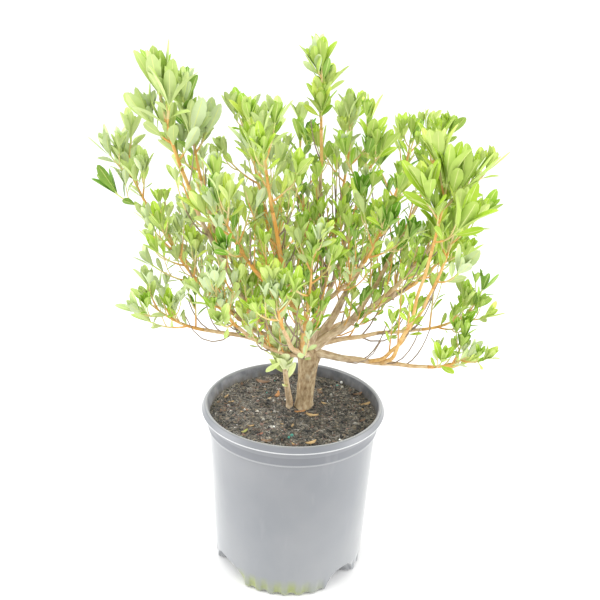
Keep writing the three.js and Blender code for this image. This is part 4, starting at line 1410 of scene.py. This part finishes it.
def pot_material(name, dark, light):
    """Grey moulded plastic: faint clouds, scuffs, green growth in the foot's slots, and painted light low
    down.
    """
    material = plain(name, dark, roughness=0.36, specular=0.7)
    tree = material.node_tree
    shader_socket(tree, "Sheen Weight").default_value = 0.6
    shader_socket(tree, "Sheen Roughness").default_value = 0.35
    place = object_place(tree)
    clouds = ramp(tree, noise(tree, place, scale=9.0, detail=4.0), [[0.3, dark], [0.7, light]])
    # Painted light: the wall is made lighter towards the foot, as if lit from the floor.
    low = share_from(tree, axis_of(tree, place, "Z"), start=0.17, end=0.01)
    plastic = times(tree, clouds, ramp(tree, low, [[0.0, grey(1.0)], [1.0, (1.24, 1.24, 1.22)]]))
    scuffs = noise(tree, place, scale=60.0, detail=6.0, stretch=(1.0, 1.0, 0.25))
    worn = blend(tree, ramp(tree, scuffs, [[0.6, grey(0)], [0.78, grey(0.14)]]), plastic, SCUFF)
    patch = ramp(tree, noise(tree, place, scale=42.0, detail=3.0), [[0.34, grey(0.3)], [0.56, grey(0.95)]])
    mask = times(tree, patch, share_from(tree, field(tree, "growth"), start=0.04, end=0.6))
    tree.links.new(blend(tree, mask, worn, GROWTH), shader_socket(tree))
    rough = ramp(tree, scuffs, [[0.3, grey(0.3)], [0.8, grey(0.46)]])
    tree.links.new(rough, shader_socket(tree, "Roughness"))
    bump(tree, noise(tree, place, scale=420.0, detail=2.0), strength=0.08, distance=0.0004)
    return material


def inner_pot_material():
    """The inside of the pot, dusty and darker down to the soil, and painted paler towards the left as light.
    """
    material = plain("pot_inside", INNER_COLOUR, roughness=0.6, specular=0.4)
    tree = material.node_tree
    place = object_place(tree)
    low = share_from(tree, axis_of(tree, place, "Z"), start=0.252, end=0.243)
    dust_and_left_light = ramp(tree, noise(tree, place, scale=70.0, detail=5.0), INNER_DUST)
    runs = noise(tree, place, scale=160.0, detail=4.0, stretch=(1.0, 1.0, 0.2))
    mask = times(tree, ramp(tree, runs, [[0.4, grey(0.2)], [0.6, grey(0.9)]]), low)
    # painted light: paler towards the left
    colour = painted_left_light(tree, place, blend(tree, mask, dust_and_left_light, INNER_STAIN), WALL_LEFT_LIGHT)
    tree.links.new(colour, shader_socket(tree))
    return material


def soil_material():
    material = plain("soil_mix", SOIL_COLOUR, roughness=0.95, specular=0.2)
    tree = material.node_tree
    place = object_place(tree)
    grain = noise(tree, place, scale=320.0, detail=6.0)
    damp = ramp(tree, noise(tree, place, scale=55.0, detail=4.0), DAMP_AND_DRY)
    # painted light: paler towards the left
    colour = painted_left_light(tree, place, times(tree, ramp(tree, grain, SOIL_COLOURS), damp), SOIL_LEFT_LIGHT)
    tree.links.new(colour, shader_socket(tree))
    bump(tree, grain, strength=1.0, distance=0.0015)
    return material


# Stage


def add_object(name, data):
    made = bpy.data.objects.new(name, data)
    bpy.context.scene.collection.objects.link(made)
    return made


def light_world():
    world = bpy.data.worlds.new("studio")
    world.use_nodes = True
    background = world.node_tree.nodes["Background"]
    background.inputs["Color"].default_value = (1.0, 1.0, 1.0, 1.0)
    background.inputs["Strength"].default_value = WORLD_STRENGTH
    bpy.context.scene.world = world
    bpy.context.scene.view_settings.view_transform = "Standard"


def add_floor():
    mesh = bpy.data.meshes.new("floor")
    half = FLOOR_SIZE / 2
    corners = [(-half, -half, 0), (half, -half, 0), (half, half, 0), (-half, half, 0)]
    mesh.from_pydata(corners, [], [(0, 1, 2, 3)])
    mesh.materials.append(plain("floor_paper", grey(FLOOR_ALBEDO), roughness=0.9, specular=0.1))
    floor = add_object("floor", mesh)
    floor.location.z = -FLOOR_DROP


def add_lamps():
    for name, place, size, power in LAMPS:
        light = bpy.data.lights.new(name, "AREA")
        light.size = size
        light.energy = power
        lamp = add_object(name, light)
        lamp.location = place
        lamp.rotation_euler = (Vector(LAMP_TARGET) - Vector(place)).to_track_quat("-Z", "Y").to_euler()


def add_camera():
    camera = add_object("camera", bpy.data.cameras.new("camera"))
    camera.data.lens = CAMERA_LENS
    camera.data.sensor_width = CAMERA_SENSOR
    tilt = Matrix.Rotation(math.radians(90 - CAMERA_TILT), 4, "X")
    roll = Matrix.Rotation(math.radians(CAMERA_ROLL), 4, "Z")
    camera.matrix_world = Matrix.Translation([c * MM for c in CAMERA_PLACE]) @ tilt @ roll
    bpy.context.scene.camera = camera


def dress_crown(limbs):
    leaf_slots, twig_slots = leaf_materials(), twig_materials()
    masses = {mass["name"]: mass for mass in all_masses(limbs)}
    for zone, names in ZONES.items():
        crown = Crown(limbs, masses.values())
        for name in names:
            grow_mass(masses[name], crown)
            if name == SPROUT[0]:
                dress_stem(limbs["second_stem"], crown)
                continue
            shoots = INNER_SHOOTS.get(name, USUAL_SHOOTS)
            bare = BARE_TWIGS.get(name, USUAL_BARE_TWIGS)
            seed = masses[name]["seed"] + SHOOT_SEED
            grow_shoots(limbs[f"bough_{name}"], shoots, bare, seed, crown)
        nodes = [f"leaves_{name}" for name in names]
        leaf_piece(f"leaves_{zone}_side", crown.leaves, nodes, leaf_slots)
        crown.twigs.build(f"twigs_{zone}_side", "bark", twig_slots, nodes)


def dress():
    limbs = all_limbs()
    dress_crown(limbs)
    bark_piece(limbs, [bark_material()], list(limbs))
    walls = [pot_material(name, *colours) for name, colours in POT_COLOURS.items()]
    pot_piece([*walls, inner_pot_material()])
    soil_surface(soil_material())
    soil_litter(litter_materials())


dress()
light_world()
add_floor()
add_lamps()
add_camera()
